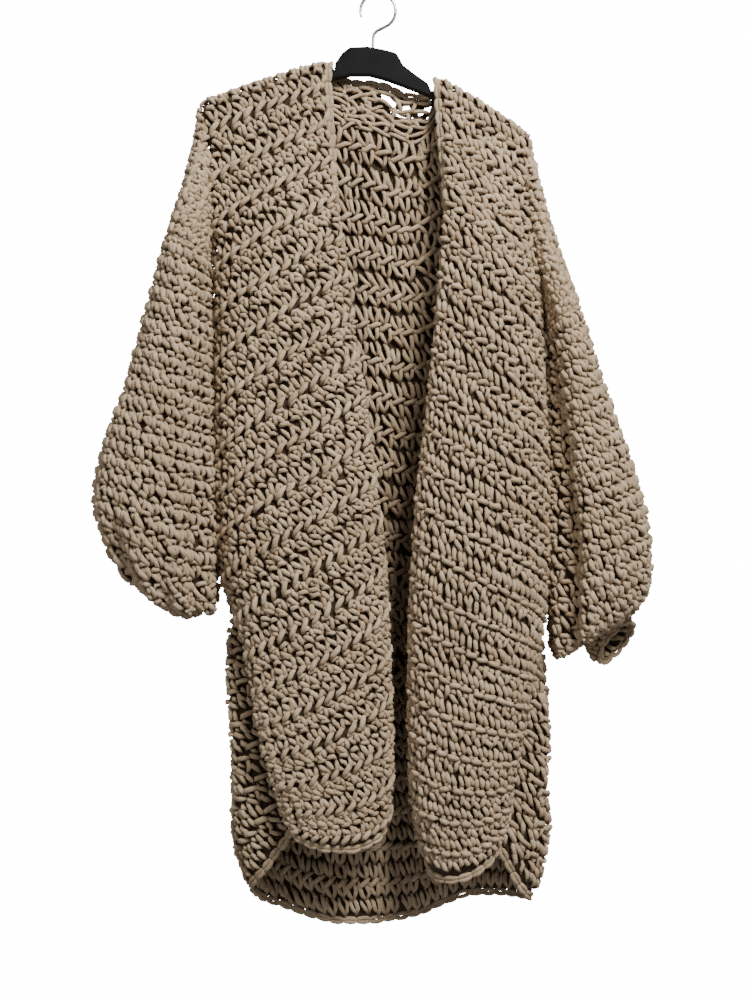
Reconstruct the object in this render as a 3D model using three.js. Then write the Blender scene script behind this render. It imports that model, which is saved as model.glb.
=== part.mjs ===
// Long open cardigan crocheted in thick plush yarn, hanging on a black moulded hanger.
// Millimetres, +Z up. X runs to the right as it is seen from the front, and -Y is the front.
// The origin is the inside top of the steel hook, where a rod carries it.
// Every panel is a thin wall on a surface that the section tables below give: a column is a line
// down the cloth, and a row is a worked row. The raised ridge rows stand proud of the plain wall.

import * as THREE from 'three';

// Cloth sizes
const WALL = 7;
const RIDGE = 3;
const HALF_ROW = 21.5;
const FOLD_RADIUS = 20;
const FOLD_QUARTER = (Math.PI / 2) * FOLD_RADIUS;
const HALF_SEAM = 0.2;
const SEAM_GAP = 0.4;
const BAND_RADIUS = 4.8;
const BAND_GAP = 0.7;
const BAND_SIDES = 6;
const SLIT_OPENING = 22;
const SLIT_RUN = 60;
const FOLD_ROWS = [0, 6, 13];
const SHOULDER_RISE = 3;
const SHOULDER_RUN = 100;
const FRONT_CREST = 0.45;
const HEM_CORNER_IN = { share: 0.15, rise: 26 };
const HEM_CORNER_OUT = { share: 0.12, rise: 16 };
const FRONT_COLUMNS = 10;
const BACK_COLUMNS = 16;
const ARM_COLUMNS = 3;
const SECTION_STEPS = 48;
const SLEEVE_SIDES = 36;
const CUFF_SIDES = 24;
const CUFF_WALL = 6;

// Front panels: path is the worked length from the shoulder, fall how much lower the outer end of
// the row hangs than the inner end, bulge how far the front stands off the fold over the hanger,
// turn the depth of the rounded inner edge, and roll the angle by which that edge curls inwards.
const FRONT_LEFT = {
  shoulderZ: -85,
  halfRows: 43,
  armRows: 8,
  sag: 34,
  table: [
    { path: 0, fall: 51, xIn: -66, bulge: 0, turn: 0, roll: 0 },
    { path: 30, fall: 51.5, xIn: -65.5, bulge: 0, turn: 2, roll: 0 },
    { path: 90, fall: 64, xIn: -61, bulge: 12, turn: 6, roll: 0 },
    { path: 160, fall: 76, xIn: -54, bulge: 26, turn: 12, roll: 0 },
    { path: 215, fall: 88, xIn: -47, bulge: 34, turn: 18, roll: 6 },
    { path: 320, fall: 106, xIn: -35, bulge: 42, turn: 26, roll: 16 },
    { path: 430, fall: 118, xIn: -17, bulge: 50, turn: 34, roll: 28 },
    { path: 540, fall: 122, xIn: -2, bulge: 56, turn: 38, roll: 36 },
    { path: 650, fall: 118, xIn: 9, bulge: 60, turn: 42, roll: 42 },
    { path: 760, fall: 100, xIn: 14, bulge: 62, turn: 42, roll: 46 },
    { path: 850, fall: 70, xIn: 16, bulge: 62, turn: 42, roll: 50 },
    { path: 924.5, fall: 27, xIn: 12, bulge: 56, turn: 38, roll: 46 },
  ],
};
const FRONT_RIGHT = {
  shoulderZ: -106,
  halfRows: 44,
  armRows: 10,
  sag: 48,
  table: [
    { path: 0, fall: 69, xIn: 78, bulge: 0, turn: 0, roll: 0 },
    { path: 30, fall: 69.5, xIn: 77.5, bulge: 0, turn: 2, roll: 0 },
    { path: 90, fall: 82, xIn: 79, bulge: 12, turn: 6, roll: 0 },
    { path: 160, fall: 92, xIn: 82, bulge: 28, turn: 12, roll: 0 },
    { path: 215, fall: 100, xIn: 80, bulge: 38, turn: 20, roll: 10 },
    { path: 320, fall: 118, xIn: 72, bulge: 50, turn: 30, roll: 25 },
    { path: 430, fall: 124, xIn: 60, bulge: 60, turn: 38, roll: 36 },
    { path: 540, fall: 120, xIn: 47, bulge: 66, turn: 42, roll: 44 },
    { path: 650, fall: 104, xIn: 41, bulge: 70, turn: 46, roll: 50 },
    { path: 760, fall: 76, xIn: 39, bulge: 72, turn: 46, roll: 50 },
    { path: 850, fall: 40, xIn: 41, bulge: 70, turn: 46, roll: 50 },
    { path: 946, fall: -12, xIn: 56, bulge: 62, turn: 42, roll: 46 },
  ],
};

// Outer edge of the body above the underarm, by worked length: x, and the distance of the front
// and of the back from the middle plane, which closes towards the underarm.
const ARMHOLE_LEFT = [
  { path: 0, x: -221, front: 20, back: 20 },
  { path: 30, x: -216, front: 20, back: 20 },
  { path: 90, x: -207, front: 17, back: 18 },
  { path: 150, x: -204, front: 12, back: 13 },
  { path: 172, x: -203, front: 0, back: 0 },
];
const ARMHOLE_RIGHT = [
  { path: 0, x: 186, front: 20, back: 20 },
  { path: 30, x: 184, front: 20, back: 20 },
  { path: 90, x: 187, front: 18, back: 18 },
  { path: 193, x: 202, front: 12, back: 13 },
  { path: 215, x: 204, front: 0, back: 0 },
];

// Side seam from the underarm down to the slit, and below it the free front edge of the slit.
const SIDE_LEFT = {
  sign: -1,
  slitZ: -725,
  table: [
    { z: -1060, x: -102, y: -57 },
    { z: -1035, x: -108, y: -56 },
    { z: -994, x: -122, y: -55 },
    { z: -941, x: -139, y: -52 },
    { z: -885, x: -150, y: -48 },
    { z: -829, x: -160, y: -38 },
    { z: -800, x: -167, y: -28 },
    { z: -775, x: -176, y: -16 },
    { z: -750, x: -186, y: -6 },
    { z: -715, x: -197, y: 0 },
    { z: -600, x: -201, y: 0 },
    { z: -450, x: -202, y: 0 },
    { z: -325, x: -203, y: 0 },
  ],
};
const SIDE_RIGHT = {
  sign: 1,
  slitZ: -735,
  table: [
    { z: -1060, x: 146, y: -53 },
    { z: -1045, x: 150, y: -52 },
    { z: -1011, x: 157, y: -50 },
    { z: -956, x: 168, y: -46 },
    { z: -894, x: 182, y: -40 },
    { z: -840, x: 192, y: -32 },
    { z: -810, x: 198, y: -24 },
    { z: -785, x: 203, y: -14 },
    { z: -760, x: 208, y: -5 },
    { z: -725, x: 212, y: 0 },
    { z: -650, x: 213, y: 0 },
    { z: -530, x: 209, y: 0 },
    { z: -410, x: 204, y: 0 },
  ],
};

// Outermost line of the back panel below the slits, where it wraps round the sides.
const WRAP_LEFT = [
  { z: -1130, x: -143, y: 6 },
  { z: -1090, x: -153, y: 2 },
  { z: -1050, x: -168, y: 0 },
  { z: -1000, x: -182, y: 0 },
  { z: -870, x: -186, y: 0 },
  { z: -790, x: -192, y: 2 },
  { z: -738, x: -198, y: 2 },
];
const WRAP_RIGHT = [
  { z: -1130, x: 172, y: 6 },
  { z: -1090, x: 192, y: 2 },
  { z: -1053, x: 206, y: 0 },
  { z: -1000, x: 216, y: 0 },
  { z: -870, x: 211, y: 0 },
  { z: -790, x: 213, y: 2 },
  { z: -745, x: 213, y: 2 },
];

// Back panel: bulge behind the fold over the hanger and the standing wave of the loose hem.
const BACK = {
  halfRows: 48,
  armRowsLeft: 10,
  armRowsRight: 12,
  armpitLeftZ: -325,
  armpitRightZ: -410,
  table: [
    { path: 0, bulge: 0, wave: 0 },
    { path: 60, bulge: 2, wave: 0 },
    { path: 215, bulge: 12, wave: 0 },
    { path: 430, bulge: 22, wave: 3 },
    { path: 640, bulge: 30, wave: 8 },
    { path: 850, bulge: 32, wave: 14 },
    { path: 1032, bulge: 30, wave: 18 },
  ],
};
const BACK_NECK_LINE = [
  { x: -60, z: -101 },
  { x: -36, z: -108 },
  { x: -8, z: -110 },
  { x: 20, z: -117 },
  { x: 52, z: -130 },
  { x: 70, z: -127 },
];
const BACK_NECK = { first: 6, last: 10, columnX: [-60, -30, 5, 40, 70] };
const BACK_HEM = [
  { u: 0, z: -1034 },
  { u: 0.07, z: -1086 },
  { u: 0.15, z: -1120 },
  { u: 0.25, z: -1145 },
  { u: 0.42, z: -1163 },
  { u: 0.56, z: -1160 },
  { u: 0.68, z: -1137 },
  { u: 0.8, z: -1129 },
  { u: 0.88, z: -1126 },
  { u: 0.94, z: -1108 },
  { u: 1, z: -1050 },
];
const HEM_WAVE_CREST = -50;
const HEM_WAVE_LENGTH = 300;
const HEM_WAVE_START = 10;
const TOP_RUN = 180;
const SIDE_SHARE = 0.3;
const TURN_REACH = 70;
const TURN_RATIO = 1.6;
const WRAP_ANGLE = 80;
const WRAP_LEAD = 30;
const WRAP_DEPTH = 6;

// Arm rings, seen from the shoulder down: centre, half width and half depth, tilt of the width
// from level (up at the outside) and pitch of the depth (down at the front), in degrees.
const ARM_LEFT = {
  sign: -1,
  rings: [
    { x: -236, y: 0, z: -318, half: 29, depth: 56, tilt: 27, pitch: 0, pleat: 0, crease: 0 },
    { x: -248, y: 0, z: -412, half: 42, depth: 64, tilt: 23, pitch: 0, pleat: 0, crease: 0 },
    { x: -261, y: -3, z: -504, half: 53, depth: 70, tilt: 19, pitch: 0, pleat: 0.5, crease: 3 },
    { x: -274, y: -5, z: -585, half: 68, depth: 76, tilt: 17, pitch: 0, pleat: 1.5, crease: 5 },
    { x: -279, y: -6, z: -655, half: 75, depth: 78, tilt: 20, pitch: 2, pleat: 3, crease: 6 },
    { x: -273, y: -4, z: -708, half: 70, depth: 72, tilt: 25, pitch: 8, pleat: 5, crease: 6 },
    { x: -257, y: 2, z: -740, half: 50, depth: 56, tilt: 24, pitch: 20, pleat: 6, crease: 3 },
    { x: -245, y: 12, z: -744, half: 30, depth: 30, tilt: 20, pitch: 26, pleat: 2.5, crease: 0 },
  ],
  cuff: { half: 27, depth: 27, length: 18 },
};
const ARM_RIGHT = {
  sign: 1,
  rings: [
    { x: 229, y: 0, z: -404, half: 23, depth: 56, tilt: 33, pitch: 0, pleat: 0, crease: 0 },
    { x: 243, y: 0, z: -483, half: 33, depth: 64, tilt: 30, pitch: 0, pleat: 0, crease: 8 },
    { x: 259, y: -3, z: -568, half: 45, depth: 70, tilt: 26, pitch: 0, pleat: 0.5, crease: 14 },
    { x: 270, y: -5, z: -632, half: 54, depth: 75, tilt: 20, pitch: 0, pleat: 1.5, crease: 16 },
    { x: 278, y: -6, z: -706, half: 60, depth: 76, tilt: 20, pitch: 0, pleat: 3, crease: 16 },
    { x: 278, y: -6, z: -764, half: 62, depth: 70, tilt: 28, pitch: 0, pleat: 5, crease: 14 },
    { x: 270, y: -8, z: -796, half: 49, depth: 54, tilt: 33, pitch: -8, pleat: 6, crease: 8 },
    { x: 276, y: -12, z: -786, half: 30, depth: 30, tilt: 40, pitch: -18, pleat: 2.5, crease: 0 },
  ],
  cuff: { half: 27, depth: 27, length: 26 },
};
const CREASE_ANGLE = 2.45;
const CREASE_WIDTH = 0.3;
const SLEEVE_RINGS = 20;
const GATHERS = 9;
const ARM_SWELL = 10;
const ARM_DIP = 10;
const CUFF_SWELL = 2;
const MITRE_LIMIT = 0.75;

// Hanger: outline seen from the front, thickness and hook
const HANGER_THICK = 11;
const HANGER_BEVEL = 2;
const HANGER_SEAT = 1;
const HANGER_ARM_DEPTH = 20;
const HANGER_TIP_DEPTH = 13;
const HANGER_END_INSET = 13;
const HANGER_CREST = [
  { x: -68, z: -98.5 },
  { x: -54.4, z: -96 },
  { x: -53.4, z: -85.6 },
  { x: -44, z: -73 },
  { x: -35, z: -66.5 },
  { x: -13.1, z: -65.5 },
  { x: 6, z: -69 },
  { x: 21.2, z: -73 },
  { x: 25.5, z: -77.5 },
  { x: 31.2, z: -88.5 },
  { x: 44.6, z: -99 },
  { x: 53, z: -104.9 },
  { x: 62, z: -111.2 },
  { x: 66.3, z: -121 },
  { x: 79, z: -122 },
];
const HANGER_UNDER = [
  { x: 66.2, z: -128.5 },
  { x: 51.2, z: -122.5 },
  { x: 31.2, z: -114.9 },
  { x: 11.2, z: -107.4 },
  { x: -10.6, z: -101.5 },
  { x: -34, z: -101.5 },
  { x: -55, z: -106.2 },
];
const HOOK_WIRE = 4;
const HOOK_INSIDE = 20;
const HOOK_FOOT = { x: -6.5, z: -66.2 };
const HOOK_NECK = { x: -4.5, z: -48 };
const HOOK_START_ANGLE = -70;
const HOOK_TIP_ANGLE = 200;
const HOOK_ARC_POINTS = 12;
const HOOK_STEPS = 24;
const HOOK_SIDES = 5;

// Finishes
const YARN = { color: 0x9c8b72, roughness: 0.95, metalness: 0 };
const PLASTIC = { color: 0x1c1c1c, roughness: 0.4, metalness: 0 };
const STEEL = { color: 0xb4b6b8, roughness: 0.3, metalness: 1 };

const group = new THREE.Group();
const radians = THREE.MathUtils.degToRad;

/** Value of one named column at a key, smooth between the table's rows and held past its ends. */
function column(table, key, value, name) {
  const last = table.length - 1;
  if (value <= table[0][key]) {
    return table[0][name];
  }
  if (value >= table[last][key]) {
    return table[last][name];
  }
  let i = 0;
  while (table[i + 1][key] < value) {
    i += 1;
  }
  const slopeOf = (n) => (table[n + 1][name] - table[n][name]) / (table[n + 1][key] - table[n][key]);
  const slope = slopeOf(i);
  const before = i > 0 ? slopeOf(i - 1) : slope;
  const after = i < last - 1 ? slopeOf(i + 1) : slope;
  const limit = (a, b) => (a * b <= 0 ? 0 : (2 * a * b) / (a + b));
  const span = table[i + 1][key] - table[i][key];
  const t = (value - table[i][key]) / span;
  const m0 = limit(before, slope) * span;
  const m1 = limit(slope, after) * span;
  const a = table[i][name];
  const b = table[i + 1][name];
  const t2 = t * t;
  const t3 = t2 * t;
  return (2 * t3 - 3 * t2 + 1) * a + (t3 - 2 * t2 + t) * m0 + (3 * t2 - 2 * t3) * b + (t3 - t2) * m1;
}

/** Drop below the shoulder line after a worked length that first turns over the rounded fold. */
function dropAt(path) {
  if (path < FOLD_QUARTER) {
    return FOLD_RADIUS * (1 - Math.cos(path / FOLD_RADIUS));
  }
  return FOLD_RADIUS + path - FOLD_QUARTER;
}

/** Distance from the middle plane after the same worked length. */
function foldAt(path) {
  return FOLD_RADIUS * Math.sin(Math.min(path / FOLD_RADIUS, Math.PI / 2));
}

/** Worked lengths of a panel's rows: the fold's extra rows, then one for each half of a ridge. */
function rowPaths(halfRows) {
  const paths = [...FOLD_ROWS];
  for (let i = 1; i <= halfRows; i += 1) {
    paths.push(i * HALF_ROW);
  }
  return paths;
}

/** Points at equal lengths along a polyline in plan. */
function evenly(points, count) {
  const reach = [0];
  for (let i = 1; i < points.length; i += 1) {
    reach.push(reach[i - 1] + Math.hypot(points[i].x - points[i - 1].x, points[i].y - points[i - 1].y));
  }
  const total = reach[reach.length - 1];
  const out = [];
  let k = 0;
  for (let j = 0; j <= count; j += 1) {
    const target = (total * j) / count;
    while (k < points.length - 2 && reach[k + 1] < target) {
      k += 1;
    }
    const t = Math.min(1, (target - reach[k]) / Math.max(reach[k + 1] - reach[k], 1e-9));
    out.push({
      x: points[k].x + (points[k + 1].x - points[k].x) * t,
      y: points[k].y + (points[k + 1].y - points[k].y) * t,
    });
  }
  return out;
}

/** Ring point of an arm at an angle from its outermost line, counted over the front. */
function ringPoint(sign, ring, angle, grow = 0) {
  const tilt = radians(ring.tilt);
  const pitch = radians(ring.pitch);
  const across = (ring.half + grow) * Math.cos(angle);
  const deep = (ring.depth + grow) * Math.sin(angle);
  return new THREE.Vector3(
    ring.x + sign * Math.cos(tilt) * across,
    ring.y - Math.cos(pitch) * deep,
    ring.z + Math.sin(tilt) * across - Math.sin(pitch) * deep,
  );
}

/** Direction along the arm, away from the shoulder, square to a ring. */
function ringAxis(sign, ring) {
  const tilt = radians(ring.tilt);
  const pitch = radians(ring.pitch);
  const across = new THREE.Vector3(sign * Math.cos(tilt), 0, Math.sin(tilt));
  const deep = new THREE.Vector3(0, -Math.cos(pitch), -Math.sin(pitch));
  const axis = new THREE.Vector3().crossVectors(across, deep).normalize();
  return axis.z > 0 ? axis.negate() : axis;
}

/**
 * Cloth wall on a lattice of outer points. cells holds a point for each row and column in use,
 * ridge tells which rows stand proud, and keep tells which rows the plain inside also has.
 * Rims are closed between the two faces, whatever the outline of the lattice.
 */
function clothWall(cells, options) {
  const { wall, closed, ridge, keep, flatten } = options;
  const rows = cells.length;
  const wrap = (i, j) => {
    if (!closed) {
      return cells[i] && cells[i].get(j);
    }
    const n = cells[0].size;
    return cells[i] && cells[i].get(((j % n) + n) % n);
  };
  const normals = cells.map((row, i) => {
    const line = new Map();
    row.forEach((point, j) => {
      const right = wrap(i, j + 1) || point;
      const left = wrap(i, j - 1) || point;
      const below = wrap(i + 1, j) || point;
      const above = wrap(i - 1, j) || point;
      const across = new THREE.Vector3().subVectors(right, left);
      const down = new THREE.Vector3().subVectors(below, above);
      const normal = new THREE.Vector3().crossVectors(down, across).normalize();
      line.set(j, flatten ? flatten(normal, i, j) : normal);
    });
    return line;
  });
  const positions = [];
  const outer = cells.map(() => new Map());
  const inner = cells.map(() => new Map());
  const push = (p) => positions.push(p.x, p.y, p.z) / 3 - 1;
  cells.forEach((row, i) => {
    row.forEach((point, j) => {
      const normal = normals[i].get(j);
      outer[i].set(j, push(point.clone().addScaledVector(normal, ridge(i))));
      if (keep(i)) {
        inner[i].set(j, push(point.clone().addScaledVector(normal, -wall)));
      }
    });
  });
  const faces = [];
  const skin = (net, list, flip) => {
    for (let a = 0; a < list.length - 1; a += 1) {
      const top = net[list[a]];
      const low = net[list[a + 1]];
      top.forEach((id, j) => {
        const next = closed ? (j + 1) % top.size : j + 1;
        const corners = [id, low.get(j), low.get(next), top.get(next)];
        if (corners.some((c) => c === undefined)) {
          return;
        }
        const [p, q, r, s] = flip ? corners.reverse() : corners;
        faces.push([p, q, r], [p, r, s]);
      });
    }
  };
  const all = [...Array(rows).keys()];
  skin(outer, all, false);
  const edges = new Map();
  faces.forEach(([a, b, c]) => {
    edges.set(`${a},${b}`, [a, b]);
    edges.set(`${b},${c}`, [b, c]);
    edges.set(`${c},${a}`, [c, a]);
  });
  const next = new Map();
  edges.forEach(([a, b]) => {
    if (!edges.has(`${b},${a}`)) {
      next.set(a, b);
    }
  });
  skin(inner, all.filter(keep), true);
  const innerOf = new Map();
  outer.forEach((row, i) => row.forEach((id, j) => innerOf.set(id, inner[i].get(j))));
  const seen = new Set();
  [...next.keys()].forEach((start) => {
    if (seen.has(start) || innerOf.get(start) === undefined) {
      return;
    }
    let at = start;
    do {
      const run = [at];
      do {
        seen.add(at);
        at = next.get(at);
        run.push(at);
      } while (innerOf.get(at) === undefined);
      const a = innerOf.get(run[0]);
      const b = innerOf.get(at);
      const middle = Math.floor((run.length - 1) / 2);
      for (let k = 0; k < run.length - 1; k += 1) {
        if (k === middle) {
          faces.push([run[k], a, b]);
        }
        faces.push([run[k + 1], run[k], k < middle ? a : b]);
      }
    } while (at !== start);
  });
  const geometry = new THREE.BufferGeometry();
  geometry.setAttribute('position', new THREE.Float32BufferAttribute(positions, 3));
  geometry.setIndex(faces.flat());
  geometry.computeVertexNormals();
  return { geometry, normals };
}

function addMesh(name, geometry, finish) {
  const mesh = new THREE.Mesh(geometry, new THREE.MeshStandardMaterial(finish));
  mesh.name = name;
  group.add(mesh);
}

/** Which rows stand proud: every second one, once the cloth has left the fold. */
function panelRidge(i) {
  const firstRow = FOLD_ROWS.length;
  return i > firstRow && (i - firstRow) % 2 === 1 ? RIDGE : 0;
}

/** Rows that the plain inside has too: the fold, the valleys, the underarm and the hem. */
function keepRows(total, extra) {
  const firstRow = FOLD_ROWS.length;
  return (i) => i < firstRow || i === total - 1 || (i - firstRow) % 2 === 0 || extra.includes(i);
}

/** Bezier point from the body's edge out to the armhole seam: it sags off the shoulder's end and
 * swells a little in front of and behind the arm. */
function armExtension(edge, ringEnd, angle, v, sign, facing) {
  const middle = edge.clone().add(ringEnd).multiplyScalar(0.5);
  middle.x -= sign * ARM_DIP * Math.cos(angle);
  middle.y += facing * ARM_SWELL * Math.sin(angle);
  const a = (1 - v) * (1 - v);
  const b = 2 * v * (1 - v);
  const c = v * v;
  return new THREE.Vector3(
    a * edge.x + b * middle.x + c * ringEnd.x,
    a * edge.y + b * middle.y + c * ringEnd.y,
    a * edge.z + b * middle.z + c * ringEnd.z,
  );
}

/** Opening of the side slit between its two edges at a height. */
function slitGap(side, z) {
  const t = THREE.MathUtils.clamp((side.slitZ - z) / SLIT_RUN, 0, 1);
  return SLIT_OPENING * t * t * (3 - 2 * t);
}

/** One front panel as a lattice: columns from the inner edge out, then over the arm's front. */
function frontLattice(panel, side, armhole, arm) {
  const { sign } = side;
  const paths = rowPaths(panel.halfRows);
  const last = paths[paths.length - 1];
  const armPath = panel.armRows * HALF_ROW;
  return paths.map((path) => {
    const read = (name) => column(panel.table, 'path', path, name);
    const zIn = panel.shoulderZ - dropAt(path);
    const zOut = zIn - read('fall');
    const yMid = -HALF_SEAM - foldAt(path) - read('bulge');
    const overArm = path <= armPath + 1e-6;
    const xOut = overArm
      ? column(armhole, 'path', path, 'x')
      : column(side.table, 'z', zOut, 'x');
    const yOut = overArm
      ? -Math.min(foldAt(path), column(armhole, 'path', path, 'front')) - HALF_SEAM
      : column(side.table, 'z', zOut, 'y') - HALF_SEAM;
    const xIn = read('xIn');
    const xMid = xIn + (xOut - xIn) * FRONT_CREST;
    const points = [];
    const inner = radians(90 + read('roll'));
    const turn = read('turn');
    for (let k = SECTION_STEPS; k > 0; k -= 1) {
      const a = (inner * k) / SECTION_STEPS;
      points.push({ x: xMid + (xIn - xMid) * Math.sin(a), y: yMid + turn * (1 - Math.cos(a)) });
    }
    for (let k = 0; k <= SECTION_STEPS; k += 1) {
      const a = ((Math.PI / 2) * k) / SECTION_STEPS;
      points.push({ x: xMid + (xOut - xMid) * Math.sin(a), y: yMid + (yOut - yMid) * (1 - Math.cos(a)) });
    }
    const line = evenly(points, FRONT_COLUMNS);
    const row = new Map();
    const done = (path / last) ** 4;
    line.forEach((p, j) => {
      const u = j / FRONT_COLUMNS;
      const near = Math.max(0, 1 - u / HEM_CORNER_IN.share);
      const far = Math.max(0, 1 - (1 - u) / HEM_CORNER_OUT.share);
      const corner = HEM_CORNER_IN.rise * near ** 2 + HEM_CORNER_OUT.rise * far ** 2;
      const sag = panel.sag * 4 * u * (1 - u);
      const rise = SHOULDER_RISE * Math.sin(Math.PI * u) * Math.max(0, 1 - path / SHOULDER_RUN);
      const z = zIn + (zOut - zIn) * u - done * (sag - corner) + rise;
      row.set(j, new THREE.Vector3(p.x, p.y, z));
    });
    if (overArm) {
      const angle = (Math.PI * path) / armPath;
      const seam = ringPoint(sign, arm.rings[0], angle);
      seam.y -= HALF_SEAM;
      for (let k = 1; k <= ARM_COLUMNS; k += 1) {
        const v = k / ARM_COLUMNS;
        row.set(FRONT_COLUMNS + k, armExtension(row.get(FRONT_COLUMNS), seam, angle, v, sign, -1));
      }
    }
    return row;
  });
}

/** The back panel as a lattice: arm columns below 0, the body's columns, arm columns above. */
function backLattice() {
  const paths = rowPaths(BACK.halfRows);
  const last = paths[paths.length - 1];
  const sides = [
    { side: SIDE_LEFT, wrap: WRAP_LEFT, hole: ARMHOLE_LEFT, arm: ARM_LEFT, pitZ: BACK.armpitLeftZ },
    { side: SIDE_RIGHT, wrap: WRAP_RIGHT, hole: ARMHOLE_RIGHT, arm: ARM_RIGHT, pitZ: BACK.armpitRightZ },
  ];
  sides[0].armPath = BACK.armRowsLeft * HALF_ROW;
  sides[1].armPath = BACK.armRowsRight * HALF_ROW;
  const edgeZ = (s, path) => {
    const top = topZ(s.side.sign < 0 ? 0 : BACK_COLUMNS);
    const hem = s.side.sign < 0 ? BACK_HEM[0].z : BACK_HEM[BACK_HEM.length - 1].z;
    if (path <= s.armPath) {
      return top + ((s.pitZ - top) * dropAt(path)) / dropAt(s.armPath);
    }
    const t = (dropAt(path) - dropAt(s.armPath)) / (dropAt(last) - dropAt(s.armPath));
    return s.pitZ + (hem - s.pitZ) * t;
  };
  return paths.map((path) => {
    const ends = sides.map((s) => {
      const z = edgeZ(s, path);
      const overArm = path <= s.armPath + 1e-6;
      if (overArm) {
        const scaled = (path * s.hole[s.hole.length - 1].path) / s.armPath;
        const x = column(s.hole, 'path', scaled, 'x');
        const y = Math.min(foldAt(path), column(s.hole, 'path', scaled, 'back')) + HALF_SEAM;
        return { x, y, z, sideX: x, sideY: y, overArm };
      }
      const gap = slitGap(s.side, z);
      const x = column(s.side.table, 'z', z, 'x');
      const y = column(s.side.table, 'z', z, 'y') + HALF_SEAM + gap;
      if (z > s.side.slitZ) {
        return { x, y, z, sideX: x, sideY: y, overArm };
      }
      const t = gap / SLIT_OPENING;
      const sideX = x + (column(s.wrap, 'z', z - WRAP_LEAD, 'x') - x) * t;
      const wrapY = Math.max(column(s.wrap, 'z', z - WRAP_LEAD, 'y'), y + WRAP_DEPTH);
      const sideY = y + (wrapY - y) * t;
      return { x, y, z, sideX, sideY, overArm };
    });
    const yBack = HALF_SEAM + foldAt(path) + column(BACK.table, 'path', path, 'bulge');
    const wave = column(BACK.table, 'path', path, 'wave');
    const [left, right] = ends;
    const points = [];
    const half = SECTION_STEPS / 2;
    const wrapAngle = radians(WRAP_ANGLE);
    const wrapPoint = (e, k) => {
      const a = (wrapAngle * k) / half;
      const reachX = (e.x - e.sideX) / (1 - Math.cos(wrapAngle));
      const reachY = (e.sideY - e.y) / Math.sin(wrapAngle);
      return { x: e.sideX + reachX * (1 - Math.cos(a)), y: e.sideY - reachY * Math.sin(a) };
    };
    const turnPoint = (e, sign, k) => {
      const a = ((Math.PI / 2) * k) / half;
      const reach = Math.min(TURN_REACH, (yBack - e.sideY) * TURN_RATIO);
      return { x: e.sideX - sign * reach * (1 - Math.cos(a)), y: e.sideY + (yBack - e.sideY) * Math.sin(a) };
    };
    for (let k = half; k > 0; k -= 1) {
      points.push(wrapPoint(left, k));
    }
    for (let k = 0; k <= half; k += 1) {
      points.push(turnPoint(left, -1, k));
    }
    const from = points[points.length - 1].x;
    const to = turnPoint(right, 1, half).x;
    for (let k = 1; k < SECTION_STEPS; k += 1) {
      points.push({ x: from + ((to - from) * k) / SECTION_STEPS, y: yBack });
    }
    for (let k = half; k >= 0; k -= 1) {
      points.push(turnPoint(right, 1, k));
    }
    for (let k = 1; k <= half; k += 1) {
      points.push(wrapPoint(right, k));
    }
    points.forEach((p) => {
      const depth = Math.max(0, p.y - HEM_WAVE_START) / Math.max(yBack - HEM_WAVE_START, 1);
      p.y -= wave * depth * Math.cos(((p.x - HEM_WAVE_CREST) * 2 * Math.PI) / HEM_WAVE_LENGTH);
    });
    const line = evenly(points, BACK_COLUMNS);
    const row = new Map();
    line.forEach((p, j) => {
      const u = j / BACK_COLUMNS;
      const share = Math.max(0, 1 - path / TOP_RUN);
      const spreadX = topX(j) * share + p.x * (1 - share);
      const atNeck = j >= BACK_NECK.first && j <= BACK_NECK.last;
      const top = topZ(j);
      const hem = column(BACK_HEM, 'u', u, 'z');
      const scale = (top - hem) / dropAt(last);
      let z = top - dropAt(path) * scale;
      const nearLeft = Math.max(0, 1 - u / SIDE_SHARE) ** 2;
      const nearRight = Math.max(0, 1 - (1 - u) / SIDE_SHARE) ** 2;
      z += nearLeft * (left.z - plainEdge(0, path, last)) + nearRight * (right.z - plainEdge(1, path, last));
      let y = p.y;
      if (atNeck && path < FOLD_QUARTER) {
        y = HALF_SEAM + FOLD_RADIUS;
        z = top - (path / last) * (top - hem);
      }
      row.set(j, new THREE.Vector3(j === 0 || j === BACK_COLUMNS ? p.x : spreadX, y, z));
    });
    sides.forEach((s, index) => {
      if (!ends[index].overArm) {
        return;
      }
      const angle = (Math.PI * path) / s.armPath;
      const seam = ringPoint(s.side.sign, s.arm.rings[0], -angle);
      seam.y += HALF_SEAM;
      const edge = row.get(index === 0 ? 0 : BACK_COLUMNS);
      for (let k = 1; k <= ARM_COLUMNS; k += 1) {
        const j = index === 0 ? -k : BACK_COLUMNS + k;
        row.set(j, armExtension(edge, seam, angle, k / ARM_COLUMNS, s.side.sign, 1));
      }
    });
    return row;
  });
}

/** Column positions along the back's top line: shoulder, neck and shoulder in even steps. */
function topX(j) {
  const { first, last, columnX } = BACK_NECK;
  const endLeft = ARMHOLE_LEFT[0].x;
  const neckLeft = FRONT_LEFT.table[0].xIn;
  const neckRight = FRONT_RIGHT.table[0].xIn;
  const endRight = ARMHOLE_RIGHT[0].x;
  if (j < first) {
    return endLeft + ((neckLeft - endLeft) * j) / (first - 1);
  }
  if (j <= last) {
    return columnX[j - first];
  }
  return neckRight + ((endRight - neckRight) * (j - last - 1)) / (BACK_COLUMNS - last - 1);
}

/** Height of the back's top line at a column, the same as the fronts' along the shoulders. */
function topZ(j) {
  if (j >= BACK_NECK.first && j <= BACK_NECK.last) {
    return column(BACK_NECK_LINE, 'x', topX(j), 'z');
  }
  const left = j < BACK_NECK.first;
  const panel = left ? FRONT_LEFT : FRONT_RIGHT;
  const hole = left ? ARMHOLE_LEFT : ARMHOLE_RIGHT;
  const { xIn, fall } = panel.table[0];
  return shoulderZ(panel, fall, (topX(j) - xIn) / (hole[0].x - xIn));
}

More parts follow.
